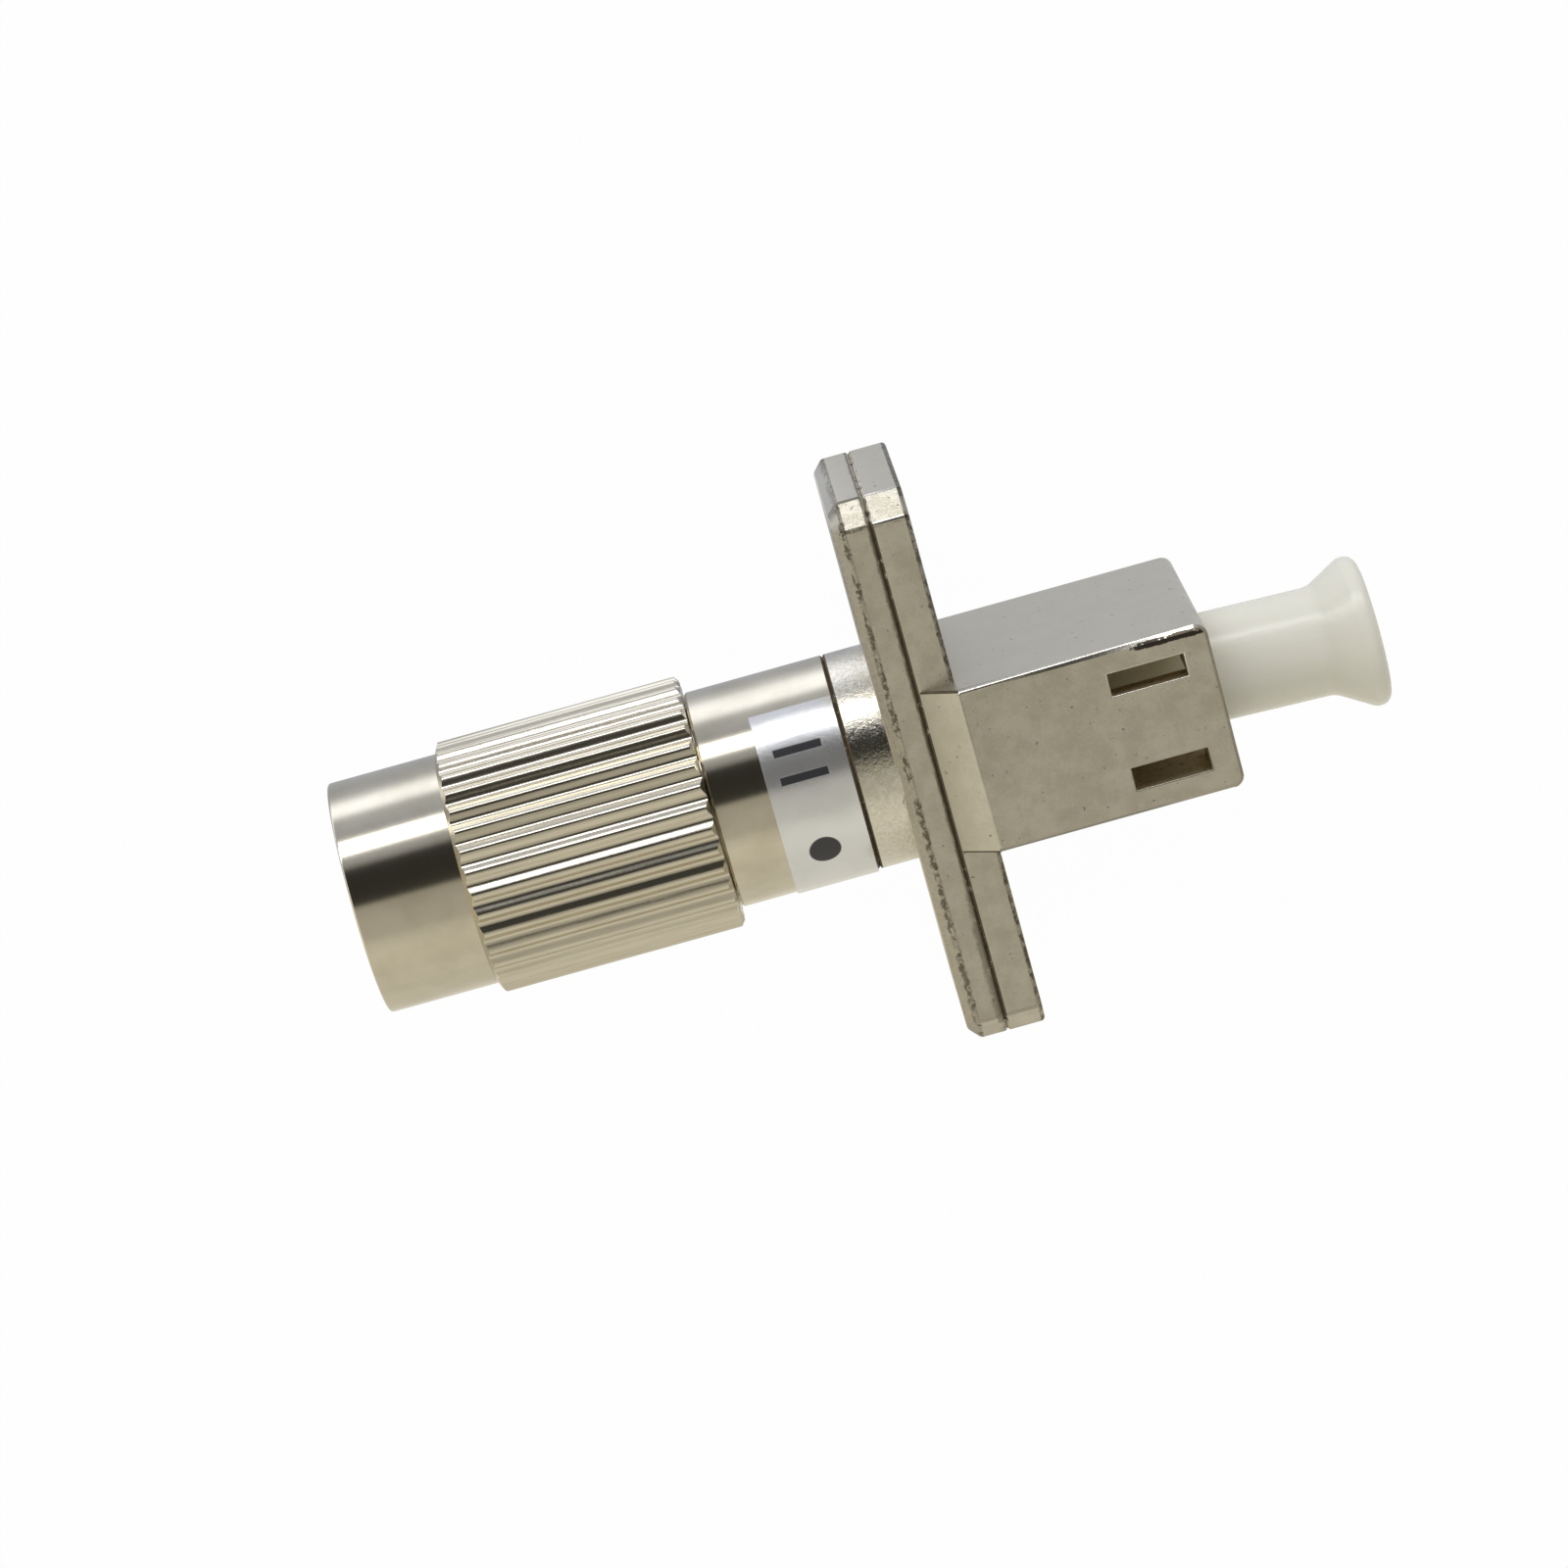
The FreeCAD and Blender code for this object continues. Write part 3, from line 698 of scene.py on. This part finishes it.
def settle(obj, body, node=None):
    """Smooths a finished piece, puts it on its body and hides the solid that it stands for, if one is given.
    """
    obj.data.shade_smooth()
    obj.data.set_sharp_from_angle(angle=SMOOTH_ANGLE)
    normals = obj.modifiers.new("flat faces stay flat", "WEIGHTED_NORMAL")
    normals.keep_sharp = True
    plain_mesh(obj)
    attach(obj, body)
    if node:
        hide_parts(node)


def reach(edge, face):
    """How far a face goes from one of its edges."""
    start, end = (vert.co for vert in edge.verts)
    along = (end - start).normalized()
    return max((vert.co - start).cross(along).length for vert in face.verts)


def dressed_copy(node, name, width, finishes, share=lambda place: 1.0, moved=lambda place: place):
    """A copy of a solid's mesh, merged, with some corners moved, and its outer edges rounded to a share of
    the width that depends on the edge's middle. The rounded faces take the last finish."""
    mesh = bpy.data.meshes.new(name)
    with edited(mesh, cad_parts[node].data) as bm:
        bmesh.ops.remove_doubles(bm, verts=bm.verts, dist=TOUCH)
        for vert in bm.verts:
            vert.co = moved(vert.co)
        bmesh.ops.dissolve_limit(bm, angle_limit=FLAT_ANGLE, verts=bm.verts, edges=bm.edges)
        weight = bm.edges.layers.float.new("bevel_weight_edge")
        for edge in bm.edges:
            if len(edge.link_faces) == 2 and edge.is_convex and edge.calc_face_angle() > EDGE_ANGLE:
                room = min(reach(edge, face) for face in edge.link_faces)
                middle = (edge.verts[0].co + edge.verts[1].co) / 2
                edge[weight] = min(share(middle), room * EDGE_SHARE / width)
    obj = new_object(name, mesh)
    set_finish(obj, *finishes)
    mesh.polygons.foreach_set("material_index", [0] * len(mesh.polygons))
    bevel = obj.modifiers.new("rounded edges", "BEVEL")
    bevel.width = width
    bevel.segments = EDGE_SEGMENTS
    bevel.limit_method = "WEIGHT"
    bevel.use_clamp_overlap = False
    bevel.loop_slide = False
    bevel.material = len(finishes) - 1
    plain_mesh(obj)
    return obj


def swap_faces(obj, rule, mesh):
    """Puts another mesh in the place of the faces that the rule picks."""
    with edited(obj.data) as bm:
        bmesh.ops.delete(bm, geom=[face for face in bm.faces if rule(face)], context="FACES")
        bm.from_mesh(mesh)
    bpy.data.meshes.remove(mesh)


def repaint(obj, rule):
    """Gives each face the finish that the rule names for it, where it names one."""
    for face in obj.data.polygons:
        finish = rule(face)
        if finish:
            face.material_index = obj.data.materials.find(finish)


def set_finish(obj, *finishes):
    """The first finish all over, and any others ready for repainting."""
    obj.data.materials.clear()
    for finish in finishes:
        obj.data.materials.append(finish_named(finish))


def repeat_round_axis():
    """Tree that repeats a mesh round the optical axis and welds the copies into one."""
    tree = bpy.data.node_groups.new("repeat_round_axis", "GeometryNodeTree")
    g = Graph(tree)
    g.interface({"Sector": "Geometry", "Copies": "Int", "Weld": "Float", "Finish": "Material",
                 "Knurl Finish": "Material"}, "Whole")
    given = g.add("NodeGroupInput")
    turn = g.add("GeometryNodeInputIndex") * (2 * math.pi) / given.out("Copies")
    points = g.add("GeometryNodePoints", {}, {"Count": given.out("Copies")})
    copies = g.add("GeometryNodeInstanceOnPoints", {},
                   {"Points": points, "Instance": given,
                    "Rotation": g.add("ShaderNodeCombineXYZ", {}, {"X": turn})})
    welded = g.add("GeometryNodeMergeByDistance", {},
                   {"Geometry": g.add("GeometryNodeRealizeInstances", {}, {"Geometry": copies}),
                    "Distance": given.out("Weld")})
    plain = g.add("GeometryNodeSetMaterial", {}, {"Geometry": welded, "Material": given.out("Finish")})
    knurl = g.add("GeometryNodeInputNamedAttribute", {"data_type": "BOOLEAN"}, {"Name": "knurl"})
    both = g.add("GeometryNodeSetMaterial", {}, {"Geometry": plain, "Selection": knurl,
                                                 "Material": given.out("Knurl Finish")})
    g.add("NodeGroupOutput", {}, {"Whole": both})
    return tree


def helix_sweep():
    """Tree that sweeps a many-sided section along a helix round the optical axis."""
    tree = bpy.data.node_groups.new("helix_sweep", "GeometryNodeTree")
    g = Graph(tree)
    g.interface({"Turns": "Float", "Steps": "Int", "Radius": "Float", "Length": "Float", "Start": "Float",
                 "Sides": "Int", "Section": "Float", "Section Turn": "Float", "Finish": "Material"}, "Coil")
    given = g.add("NodeGroupInput")
    spiral = g.add("GeometryNodeCurveSpiral", {},
                   {"Resolution": given.out("Steps"), "Rotations": given.out("Turns"),
                    "Start Radius": given.out("Radius"), "End Radius": given.out("Radius"),
                    "Height": given.out("Length")})
    upright = g.add("GeometryNodeSetCurveNormal", {"mode": "Z_UP"}, {"Curve": spiral})
    section = g.add("GeometryNodeCurvePrimitiveCircle", {},
                    {"Resolution": given.out("Sides"), "Radius": given.out("Section")})
    turned = g.add("GeometryNodeTransform", {},
                   {"Geometry": section,
                    "Rotation": g.add("ShaderNodeCombineXYZ", {}, {"Z": given.out("Section Turn")})})
    swept = g.add("GeometryNodeCurveToMesh", {},
                  {"Curve": upright, "Profile Curve": turned, "Fill Caps": True})
    laid = g.add("GeometryNodeTransform", {},
                 {"Geometry": swept, "Rotation": (0.0, math.pi / 2, 0.0),
                  "Translation": g.add("ShaderNodeCombineXYZ", {}, {"X": given.out("Start")})})
    whole = g.add("GeometryNodeRealizeInstances", {}, {"Geometry": laid})
    coil = g.add("GeometryNodeSetMaterial", {}, {"Geometry": whole, "Material": given.out("Finish")})
    g.add("NodeGroupOutput", {}, {"Coil": coil})
    return tree


def grow(name, mesh, make_tree, **inputs):
    """An object shaped by a tree whose inputs are named in words joined by underscores, as a plain mesh."""
    tree = bpy.data.node_groups.get(make_tree.__name__) or make_tree()
    obj = new_object(name, mesh)
    modifier = obj.modifiers.new(make_tree.__name__, "NODES")
    modifier.node_group = tree
    for item in tree.interface.items_tree:
        key = item.name.lower().replace(" ", "_")
        if item.in_out == "INPUT" and key in inputs:
            modifier[item.identifier] = inputs[key]
    plain_mesh(obj)
    return obj


def nut_sector(sizes):
    """One tooth's slice of the coupling nut, with all of its bore, as a mesh open at both sides."""
    low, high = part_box("coupling_nut")
    ring_low, ring_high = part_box("retaining_ring")
    collar_r = sizes.thread_major + sizes.collar_wall
    crest_r = collar_r + sizes.knurl_rise
    root_r = crest_r - sizes.knurl_depth
    knurl_x = high.x - sizes.knurl_length
    edge = sizes.collar_edge
    groove_r = ring_high.z + sizes.ring_room
    thread_end = low.x + sizes.thread_length
    lead_x = low.x + sizes.mouth_chamfer
    lead_r = sizes.thread_major + sizes.mouth_chamfer
    front = soften([(lead_x, sizes.thread_major, 0), (low.x, lead_r, edge / 2), (low.x, collar_r, edge),
                    (knurl_x, collar_r, 0)])
    back = [Vector(p) for p in (
        (high.x, collar_r), (high.x, sizes.nut_bore), (ring_high.x + sizes.ring_room, sizes.nut_bore),
        (ring_high.x + sizes.ring_room, groove_r), (ring_low.x - sizes.ring_room, groove_r),
        (ring_low.x - sizes.ring_room, sizes.nut_bore), (thread_end, sizes.nut_bore),
        (thread_end, sizes.thread_major))]
    columns = []
    for step in range(-TOOTH_STEPS, TOOTH_STEPS + 1):
        turn = math.pi / sizes.knurl_teeth * step / TOOTH_STEPS
        r = root_r + sizes.knurl_depth * (1 + math.cos(turn * sizes.knurl_teeth)) / 2
        front_x = knurl_x + sizes.knurl_front_bevel * (r - collar_r) / sizes.knurl_rise
        rear_x = high.x - sizes.knurl_rear_bevel * (r - root_r) / sizes.knurl_depth
        outline = front + [Vector((front_x, r)), Vector((rear_x, r))] + back
        columns.append([about_axis(x, radius, sizes.knurl_turn + turn) for x, radius in outline])
    mesh = bpy.data.meshes.new("nut_sector")
    first = len(front) - 1
    with edited(mesh) as bm:
        knurl = bm.faces.layers.bool.new("knurl")
        for index, face in enumerate(wrap_columns(bm, columns, False)):
            face[knurl] = first <= index % len(outline) <= first + 2
    return mesh


class ADAPTER_OT_coupling_nut(bpy.types.Operator):
    """Knurled coupling nut with its inner thread"""
    bl_idname = "adapter.coupling_nut"
    bl_label = "Coupling nut"

    def execute(self, context):
        sizes = context.scene.adapter_sizes
        nut = grow("nut_knurled", nut_sector(sizes), repeat_round_axis, copies=sizes.knurl_teeth, weld=TOUCH,
                   finish=finish_named("nickel_turned"), knurl_finish=finish_named("nickel_knurled"))
        with edited(nut.data) as bm:
            bmesh.ops.recalc_face_normals(bm, faces=bm.faces)
        settle(nut, "nut", "coupling_nut")
        ridge = (sizes.thread_major - sizes.thread_minor) / RIDGE_RISE
        run = sizes.thread_length - 2 * sizes.mouth_chamfer - 2 * ridge
        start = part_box("coupling_nut")[0].x + sizes.mouth_chamfer + ridge
        thread = grow("nut_thread", bpy.data.meshes.new("nut_thread"), helix_sweep,
                      turns=run / sizes.thread_pitch, steps=THREAD_STEPS, radius=sizes.thread_minor + ridge,
                      length=run, start=start, sides=RIDGE_SIDES, section=ridge * RIDGE_GROWTH,
                      section_turn=math.pi, finish=finish_named("nickel_turned"))
        settle(thread, "nut")
        return {"FINISHED"}


class ADAPTER_OT_barrel(bpy.types.Operator):
    """Round body between the nut and the flange"""
    bl_idname = "adapter.barrel"
    bl_label = "Barrel"

    def execute(self, context):
        sizes = context.scene.adapter_sizes
        low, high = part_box("barrel")
        seam_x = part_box("front_flange")[0].x
        neck_r = sizes.neck_radius
        radius = high.z
        spigot_r = radius - sizes.boss_wall
        wall_x, socket_x = high.x - sizes.end_wall, low.x + sizes.neck_socket
        chamfer, edge = sizes.barrel_chamfer, sizes.turned_edge
        outline = soften([
            (low.x, neck_r, edge), (low.x, radius - chamfer, edge), (low.x + chamfer, radius, edge),
            (seam_x - chamfer, radius, edge), (seam_x, radius - chamfer, edge), (seam_x, spigot_r, 0),
            (high.x, spigot_r, edge), (high.x, sizes.end_hole, 0), (wall_x, sizes.end_hole, 0),
            (wall_x, sizes.barrel_bore, 0), (socket_x, sizes.barrel_bore, 0), (socket_x, neck_r, 0)])
        barrel = new_object("barrel_turned", lathe("barrel_turned", outline))
        set_finish(barrel, "nickel_turned", "seam_dirt")
        repaint(barrel, lambda face: "seam_dirt" if face.center.x > seam_x - chamfer else None)
        settle(barrel, "housing", "barrel")
        return {"FINISHED"}


class ADAPTER_OT_barrel_label(bpy.types.Operator):
    """Paper sticker wrapped part of the way round the barrel"""
    bl_idname = "adapter.barrel_label"
    bl_label = "Barrel label"

    def execute(self, context):
        low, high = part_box("barrel_label")
        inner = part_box("barrel")[1].z
        outer = high.z
        sizes = context.scene.adapter_sizes
        start, sweep = sizes.label_start, sizes.label_sweep
        lip = (outer - inner) * LABEL_LIP
        outline = soften([(low.x, inner, 0), (low.x, outer, lip), (high.x, outer, lip), (high.x, inner, 0)],
                         LABEL_ROUND_STEPS)
        turns = [start + sweep * step / LABEL_STEPS for step in range(LABEL_STEPS + 1)]
        mesh = bpy.data.meshes.new("label_sticker")
        with edited(mesh) as bm:
            wrap_columns(bm, [[about_axis(x, r, turn) for x, r in outline] for turn in turns], False)
            bmesh.ops.holes_fill(bm, edges=[e for e in bm.edges if e.is_boundary], sides=0)
            uv = bm.loops.layers.uv.new("sticker")
            for loop in (loop for face in bm.faces for loop in face.loops):
                x, y, z = loop.vert.co
                turn = math.atan2(z, y) % (2 * math.pi) - start
                loop[uv].uv = (turn * outer / MM, (x - low.x) / MM)
            close(bm)
        label = new_object("label_sticker", mesh)
        set_finish(label, "sticker_paper")
        settle(label, "housing", "barrel_label")
        return {"FINISHED"}


class ADAPTER_OT_flange(bpy.types.Operator):
    """Plug-side flange plate with its boss"""
    bl_idname = "adapter.flange"
    bl_label = "Front flange"

    def execute(self, context):
        sizes = context.scene.adapter_sizes
        low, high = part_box("front_flange")
        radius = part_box("barrel")[1].z
        boss_r = radius + sizes.parting_bevel
        boss_x = (low.x + high.x) / 2
        plate_x = high.x - sizes.plate_thick + sizes.front_bevel

        def finish_of(face):
            """Dirt in both seams, sandy plate round the boss, wear and painted shade on the front bevel."""
            x, y, z = face.center
            slant = abs(face.normal.x)
            if x > high.x - sizes.parting_bevel and slant < FACING:
                return "seam_dirt"
            if x < low.x + sizes.cast_edge:
                return "seam_dirt"
            if x < boss_x and math.hypot(y, z) < boss_r:
                return "nickel_blasted"
            if x < plate_x and 1 - FACING < slant < FACING:
                return "worn_edge"
            return None

        def on_boss(face):
            """Whether a face is on the boss's round side, which a finer skin replaces."""
            x, y, z = face.calc_center_median()
            on_round = abs(math.hypot(y, z) - radius) < sizes.cast_edge
            return x < boss_x and on_round and face.normal.x > -FACING

        flange = dressed_copy("front_flange", "flange_cast", sizes.cast_edge,
                              ("nickel_cast", "nickel_blasted", "seam_dirt", "worn_edge"))
        depth = sizes.boss_wall / 2
        skin = soften([(low.x, radius - depth, 0), (low.x, radius, sizes.cast_edge), (plate_x, radius, 0),
                       (plate_x, radius - depth, 0)])
        swap_faces(flange, on_boss, lathe("boss_skin", skin))
        repaint(flange, finish_of)
        settle(flange, "housing", "front_flange")
        return {"FINISHED"}


class ADAPTER_OT_port_housing(bpy.types.Operator):
    """Port-side flange plate and latch port, one casting"""
    bl_idname = "adapter.port_housing"
    bl_label = "Port housing"

    def execute(self, context):
        sizes = context.scene.adapter_sizes
        low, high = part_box("port_housing")
        plate_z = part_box("front_flange")[1].z
        bevel_x = low.x / 4
        skin = sizes.cast_edge * 2

        def finish_of(face):
            """Dirt in the seam, painted shadow by the ramp, wear and painted shade on bevels and mouth,
            brown plate darkened as painted shade inside the port.
            """
            x, y, z = face.center
            slant = abs(face.normal.x)
            tilted = 1 - FACING < abs(face.normal.z) < FACING
            if x < low.x + sizes.parting_bevel and slant < FACING:
                return "seam_dirt"
            if x > bevel_x and abs(y) > sizes.port_half and 1 - FACING < slant < FACING:
                return "worn_edge"
            if abs(x) < skin and z > high.z - skin and abs(y) < sizes.port_half - skin:
                return "nickel_cast"
            # Painted shadow along the ramp's upper edges beside the plate
            if x < 0 and z > plate_z and abs(y) > sizes.port_half - skin:
                return "seam_dirt"
            # Painted shade on the mouth's upright corners
            if x > high.x - sizes.mouth_corner and tilted:
                return "worn_edge"
            if x > 0 and abs(y) > sizes.port_half - skin and tilted:
                return "nickel_edge"
            if skin < x < high.x - skin and z < high.z - skin and abs(y) < sizes.latch_half + skin / 2:
                return "cast_inside" if z > low.z + skin else None
            return None

        def rim_share(place):
            """No rounding at the seam, the mouth and the long edges, which have their own chamfers."""
            if place.x < low.x + sizes.parting_bevel * 2:
                return 0.0
            if low.z + skin < place.z < high.z - skin:
                return 1.0
            if place.x > high.x - sizes.mouth_corner - sizes.cast_edge / 2:
                return 0.0
            return LATCH_SHARE if abs(place.y) < sizes.port_half - skin else 0.0

        def rubbed(place):
            """Widens the two long chamfers beside the latch face."""
            x, y, z = place
            inset, depth = sizes.port_half - abs(y), high.z - z
            if abs(inset) < TOUCH and abs(depth - sizes.port_edge) < TOUCH:
                z = high.z - sizes.port_rub
            elif abs(depth) < TOUCH and abs(inset - sizes.port_edge) < TOUCH:
                y = math.copysign(sizes.port_half - sizes.port_rub, y)
            return Vector((x, y, z))

        port = dressed_copy("port_housing", "port_cast", sizes.cast_edge,
                            ("nickel_cast", "seam_dirt", "worn_edge", "cast_inside", "nickel_edge"),
                            rim_share, rubbed)
        repaint(port, finish_of)
        settle(port, "housing", "port_housing")
        return {"FINISHED"}


class ADAPTER_OT_dust_cap(bpy.types.Operator):
    """Moulded dust cap with its flared grip"""
    bl_idname = "adapter.dust_cap"
    bl_label = "Dust cap"

    def execute(self, context):
        sizes = context.scene.adapter_sizes
        low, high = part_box("dust_cap")
        tube_r, grip_r = sizes.cap_radius, high.z
        land_x = high.x - sizes.grip_chamfer - sizes.grip_land
        foot_x = land_x - (grip_r - tube_r) / math.tan(sizes.grip_slope)
        floor_x, bottom_x = low.x + sizes.cap_floor, high.x - sizes.grip_hollow
        hollow_r = tube_r - sizes.grip_wall
        edge = sizes.turned_edge
        outline = soften([
            (low.x, sizes.cap_bore, edge), (low.x, tube_r, edge * 3), (foot_x, tube_r, sizes.grip_neck),
            (land_x, grip_r, sizes.grip_chamfer), (high.x, grip_r, sizes.grip_chamfer),
            (high.x, hollow_r, edge * 5), (bottom_x, hollow_r, edge * 8), (bottom_x, 0, 0), (floor_x, 0, 0),
            (floor_x, sizes.cap_bore, 0)], CAP_STEPS)
        mesh = lathe("cap_moulded", outline)
        hinge_x = low.x + sizes.cap_floor / 2
        for vert in mesh.vertices:
            vert.co.y -= (vert.co.x - hinge_x) * math.tan(sizes.cap_droop)
        cap = new_object("cap_moulded", mesh)
        set_finish(cap, "ivory_plastic")
        settle(cap, "cap", "dust_cap")
        return {"FINISHED"}


class ADAPTER_OT_plug_inside(bpy.types.Operator):
    """Keyed nose, ferrules, spring and the other inner pieces"""
    bl_idname = "adapter.plug_inside"
    bl_label = "Inner pieces"

    pieces = (
        ("plug_frame", "plug_nose", "housing", "turned_nickel", "nickel_turned"),
        ("plug_ferrule", "plug_ferrule_tip", "ferrules", "white_ceramic", "ceramic_white"),
        ("port_ferrule", "port_ferrule_tip", "ferrules", "white_ceramic", "ceramic_white"),
        ("ferrule_holder", "ferrule_carrier", "ferrules", "turned_nickel", "nickel_turned"),
        ("sleeve_holder", "sleeve_tube", "housing", "turned_nickel", "nickel_turned"),
        ("split_sleeve", "slotted_sleeve", "housing", "white_ceramic", "ceramic_white"),
        ("spring_stop", "spring_seat", "housing", "turned_nickel", "nickel_turned"),
        ("retaining_ring", "nut_ring", "ring", "spring_steel", "steel_drawn"),
        ("flange_pins", "plate_pins", "housing", "spring_steel", "steel_drawn"),
    )

    def execute(self, context):
        sizes = context.scene.adapter_sizes
        for node, name, body, slot, finish in self.pieces:
            settle(dressed_copy(node, name, sizes.turned_edge, (finish,)), body, node)
        low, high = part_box("ferrule_spring")
        wire = sizes.spring_wire / 2
        spring = grow("spring_coil", bpy.data.meshes.new("spring_coil"), helix_sweep,
                      turns=float(sizes.spring_turns), steps=COIL_STEPS, radius=high.z - wire,
                      length=high.x - low.x - 2 * wire, start=low.x + wire, sides=COIL_SIDES, section=wire,
                      section_turn=0.0, finish=finish_named("steel_drawn"))
        settle(spring, "housing", "ferrule_spring")
        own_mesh(spring)
        set_finish(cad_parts["fibre"], "clear_glass")
        return {"FINISHED"}


class ADAPTER_OT_stage(bpy.types.Operator):
    """Pale floor, soft studio light and the camera"""
    bl_idname = "adapter.stage"
    bl_label = "Stage"

    def execute(self, context):
        self.floor(context)
        self.world(context)
        self.lamp("window", degrees=68.3, distance=0.4, size=(0.9, 0.1), radiance=4.0)
        fill = self.lamp("softbox", degrees=25.0, distance=0.7, size=(0.6, 0.6), radiance=0.74)
        fill.visible_glossy = False
        self.camera(context)
        context.scene.view_settings.view_transform = "Standard"
        return {"FINISHED"}

    def floor(self, context):
        """A wide plate under the part, white to the camera but for a faint shadow."""
        mesh = bpy.data.meshes.new("floor")
        with edited(mesh) as bm:
            bmesh.ops.create_circle(bm, cap_ends=True, segments=FLOOR_SEGMENTS, radius=FLOOR_RADIUS,
                                    matrix=Matrix.Translation((0, 0, CAD_BOX[0].z)))
        floor = new_object("floor", mesh)
        tint = context.scene.adapter_colours
        material, g = material_graph("floor_white")
        paint = g.add("ShaderNodeBsdfDiffuse", {}, {"Color": (*tint.floor, 1.0)})
        path = g.add("ShaderNodeLightPath")
        mirrored = path.out("Is Glossy Ray").math("MAXIMUM", path.out("Is Transmission Ray"))
        place = g.split(g.millimetres())
        # Painted light and shadow: the floor's glow in the metal, a bright pool beside the plug and darker
        # by the part
        port_glow = g.curve(place.out("Y"), PORT_FLOOR_GLOW)
        outer = 1.0 - g.ramp(place, -20.0, -14.0)
        plug_glow = g.curve(place.out("Y") - outer * 3.0, PLUG_FLOOR_GLOW) * PLUG_GLOW_GAIN
        share = g.ramp(place, -3.4, -2.9)
        level = plug_glow * (1.0 - share) + port_glow * share
        side = g.mix(g.ramp(place.out("Y"), -1.0, 4.0), tint.light_warm, tint.light_cool)
        glow = g.add("ShaderNodeEmission", {}, {"Color": g.mix(mirrored, WHITE, side),
                                                "Strength": level * mirrored + (1.0 - mirrored)})
        shown = (path * FLOOR_SEEN).math("MAXIMUM", mirrored * FLOOR_MIRRORED)
        mixed = g.add("ShaderNodeMixShader", {}, {0: shown, 1: paint, 2: glow})
        g.add("ShaderNodeOutputMaterial", {}, {"Surface": mixed})
        mesh.materials.append(material)

    def world(self, context):
        """Studio round the part: a dark band above, paler on both sides, white by the plug's end."""
        tint = context.scene.adapter_colours
        world = bpy.data.worlds.new("studio")
        context.scene.world = world
        world.use_nodes = True
        g = Graph(world.node_tree)
        way = g.split(g.add("ShaderNodeTexCoord", output="Generated"))
        lean = way.out("Y").math("ARCTAN2", way.out("Z")) * (180 / math.pi)
        level = g.curve(lean, STUDIO)
        plug_end = g.ramp(0.0 - way, 0.55, 0.95)
        port_end = g.ramp(way, 0.55, 0.95)
        level = level * (1.0 - plug_end - port_end) + plug_end + port_end * PORT_END_LEVEL
        path = g.add("ShaderNodeLightPath")
        seen = path.math("MAXIMUM", path.out("Is Transmission Ray"))
        side = g.mix(g.ramp(lean, 35.0, 60.0), tint.light_warm, tint.light_cool)
        glow = g.add("ShaderNodeBackground", {}, {"Color": g.mix(seen, side, WHITE),
                                                  "Strength": level * (1.0 - seen) + seen})
        g.add("ShaderNodeOutputWorld", {}, {"Surface": glow})

    def lamp(self, name, degrees, distance, size, radiance):
        """A soft lamp, its long side along the part, facing it at that angle from overhead towards +Y."""
        light = bpy.data.lights.new(name, "AREA")
        light.shape = "RECTANGLE"
        light.size, light.size_y = size
        light.energy = radiance * math.pi * size[0] * size[1]
        lamp = new_object(name, light)
        lean = math.radians(degrees)
        lamp.location = (0.0, distance * math.sin(lean), distance * math.cos(lean))
        lamp.rotation_euler = (-lean, 0.0, 0.0)
        return lamp

    def camera(self, context):
        """The camera at the photograph's angle."""
        turn = (Matrix.Rotation(VIEW_ROLL, 3, "Z") @ Matrix.Rotation(VIEW_TILT, 3, "X")
                @ Matrix.Rotation(VIEW_SWING, 3, "Y")).transposed()
        data = bpy.data.cameras.new("camera")
        data.lens = VIEW_LENS
        data.clip_start, data.clip_end = VIEW_CLIP
        camera = new_object("camera", data)
        camera.matrix_world = Matrix.Translation(VIEW_ORIGIN - turn @ VIEW_PLACE) @ turn.to_4x4()
        context.scene.camera = camera


OPERATORS = (ADAPTER_OT_coupling_nut, ADAPTER_OT_barrel, ADAPTER_OT_barrel_label, ADAPTER_OT_flange,
             ADAPTER_OT_port_housing, ADAPTER_OT_dust_cap, ADAPTER_OT_plug_inside, ADAPTER_OT_stage)


class ADAPTER_PT_panel(bpy.types.Panel):
    """Lists the pieces and the stage"""
    bl_label = "Hybrid fibre adapter"
    bl_idname = "ADAPTER_PT_panel"
    bl_space_type = "VIEW_3D"
    bl_region_type = "UI"
    bl_category = "Adapter"

    def draw(self, context):
        for operator in OPERATORS:
            self.layout.operator(operator.bl_idname)
        for group in (context.scene.adapter_sizes, context.scene.adapter_colours):
            box = self.layout.box()
            for name in group.bl_rna.properties.keys():
                if name not in ("name", "rna_type"):
                    box.prop(group, name)


CLASSES = (AdapterSizes, AdapterColours, *OPERATORS, ADAPTER_PT_panel)


def register():
    """Adds the classes and the scene's sizes and colours."""
    for cls in CLASSES:
        bpy.utils.register_class(cls)
    bpy.types.Scene.adapter_sizes = PointerProperty(type=AdapterSizes)
    bpy.types.Scene.adapter_colours = PointerProperty(type=AdapterColours)


def unregister():
    """Takes them away again."""
    del bpy.types.Scene.adapter_sizes
    del bpy.types.Scene.adapter_colours
    for cls in reversed(CLASSES):
        bpy.utils.unregister_class(cls)


def main():
    """Registers the classes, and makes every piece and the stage."""
    register()
    for operator in OPERATORS:
        group, name = operator.bl_idname.split(".")
        getattr(getattr(bpy.ops, group), name)()


if __name__ == "__main__":
    main()
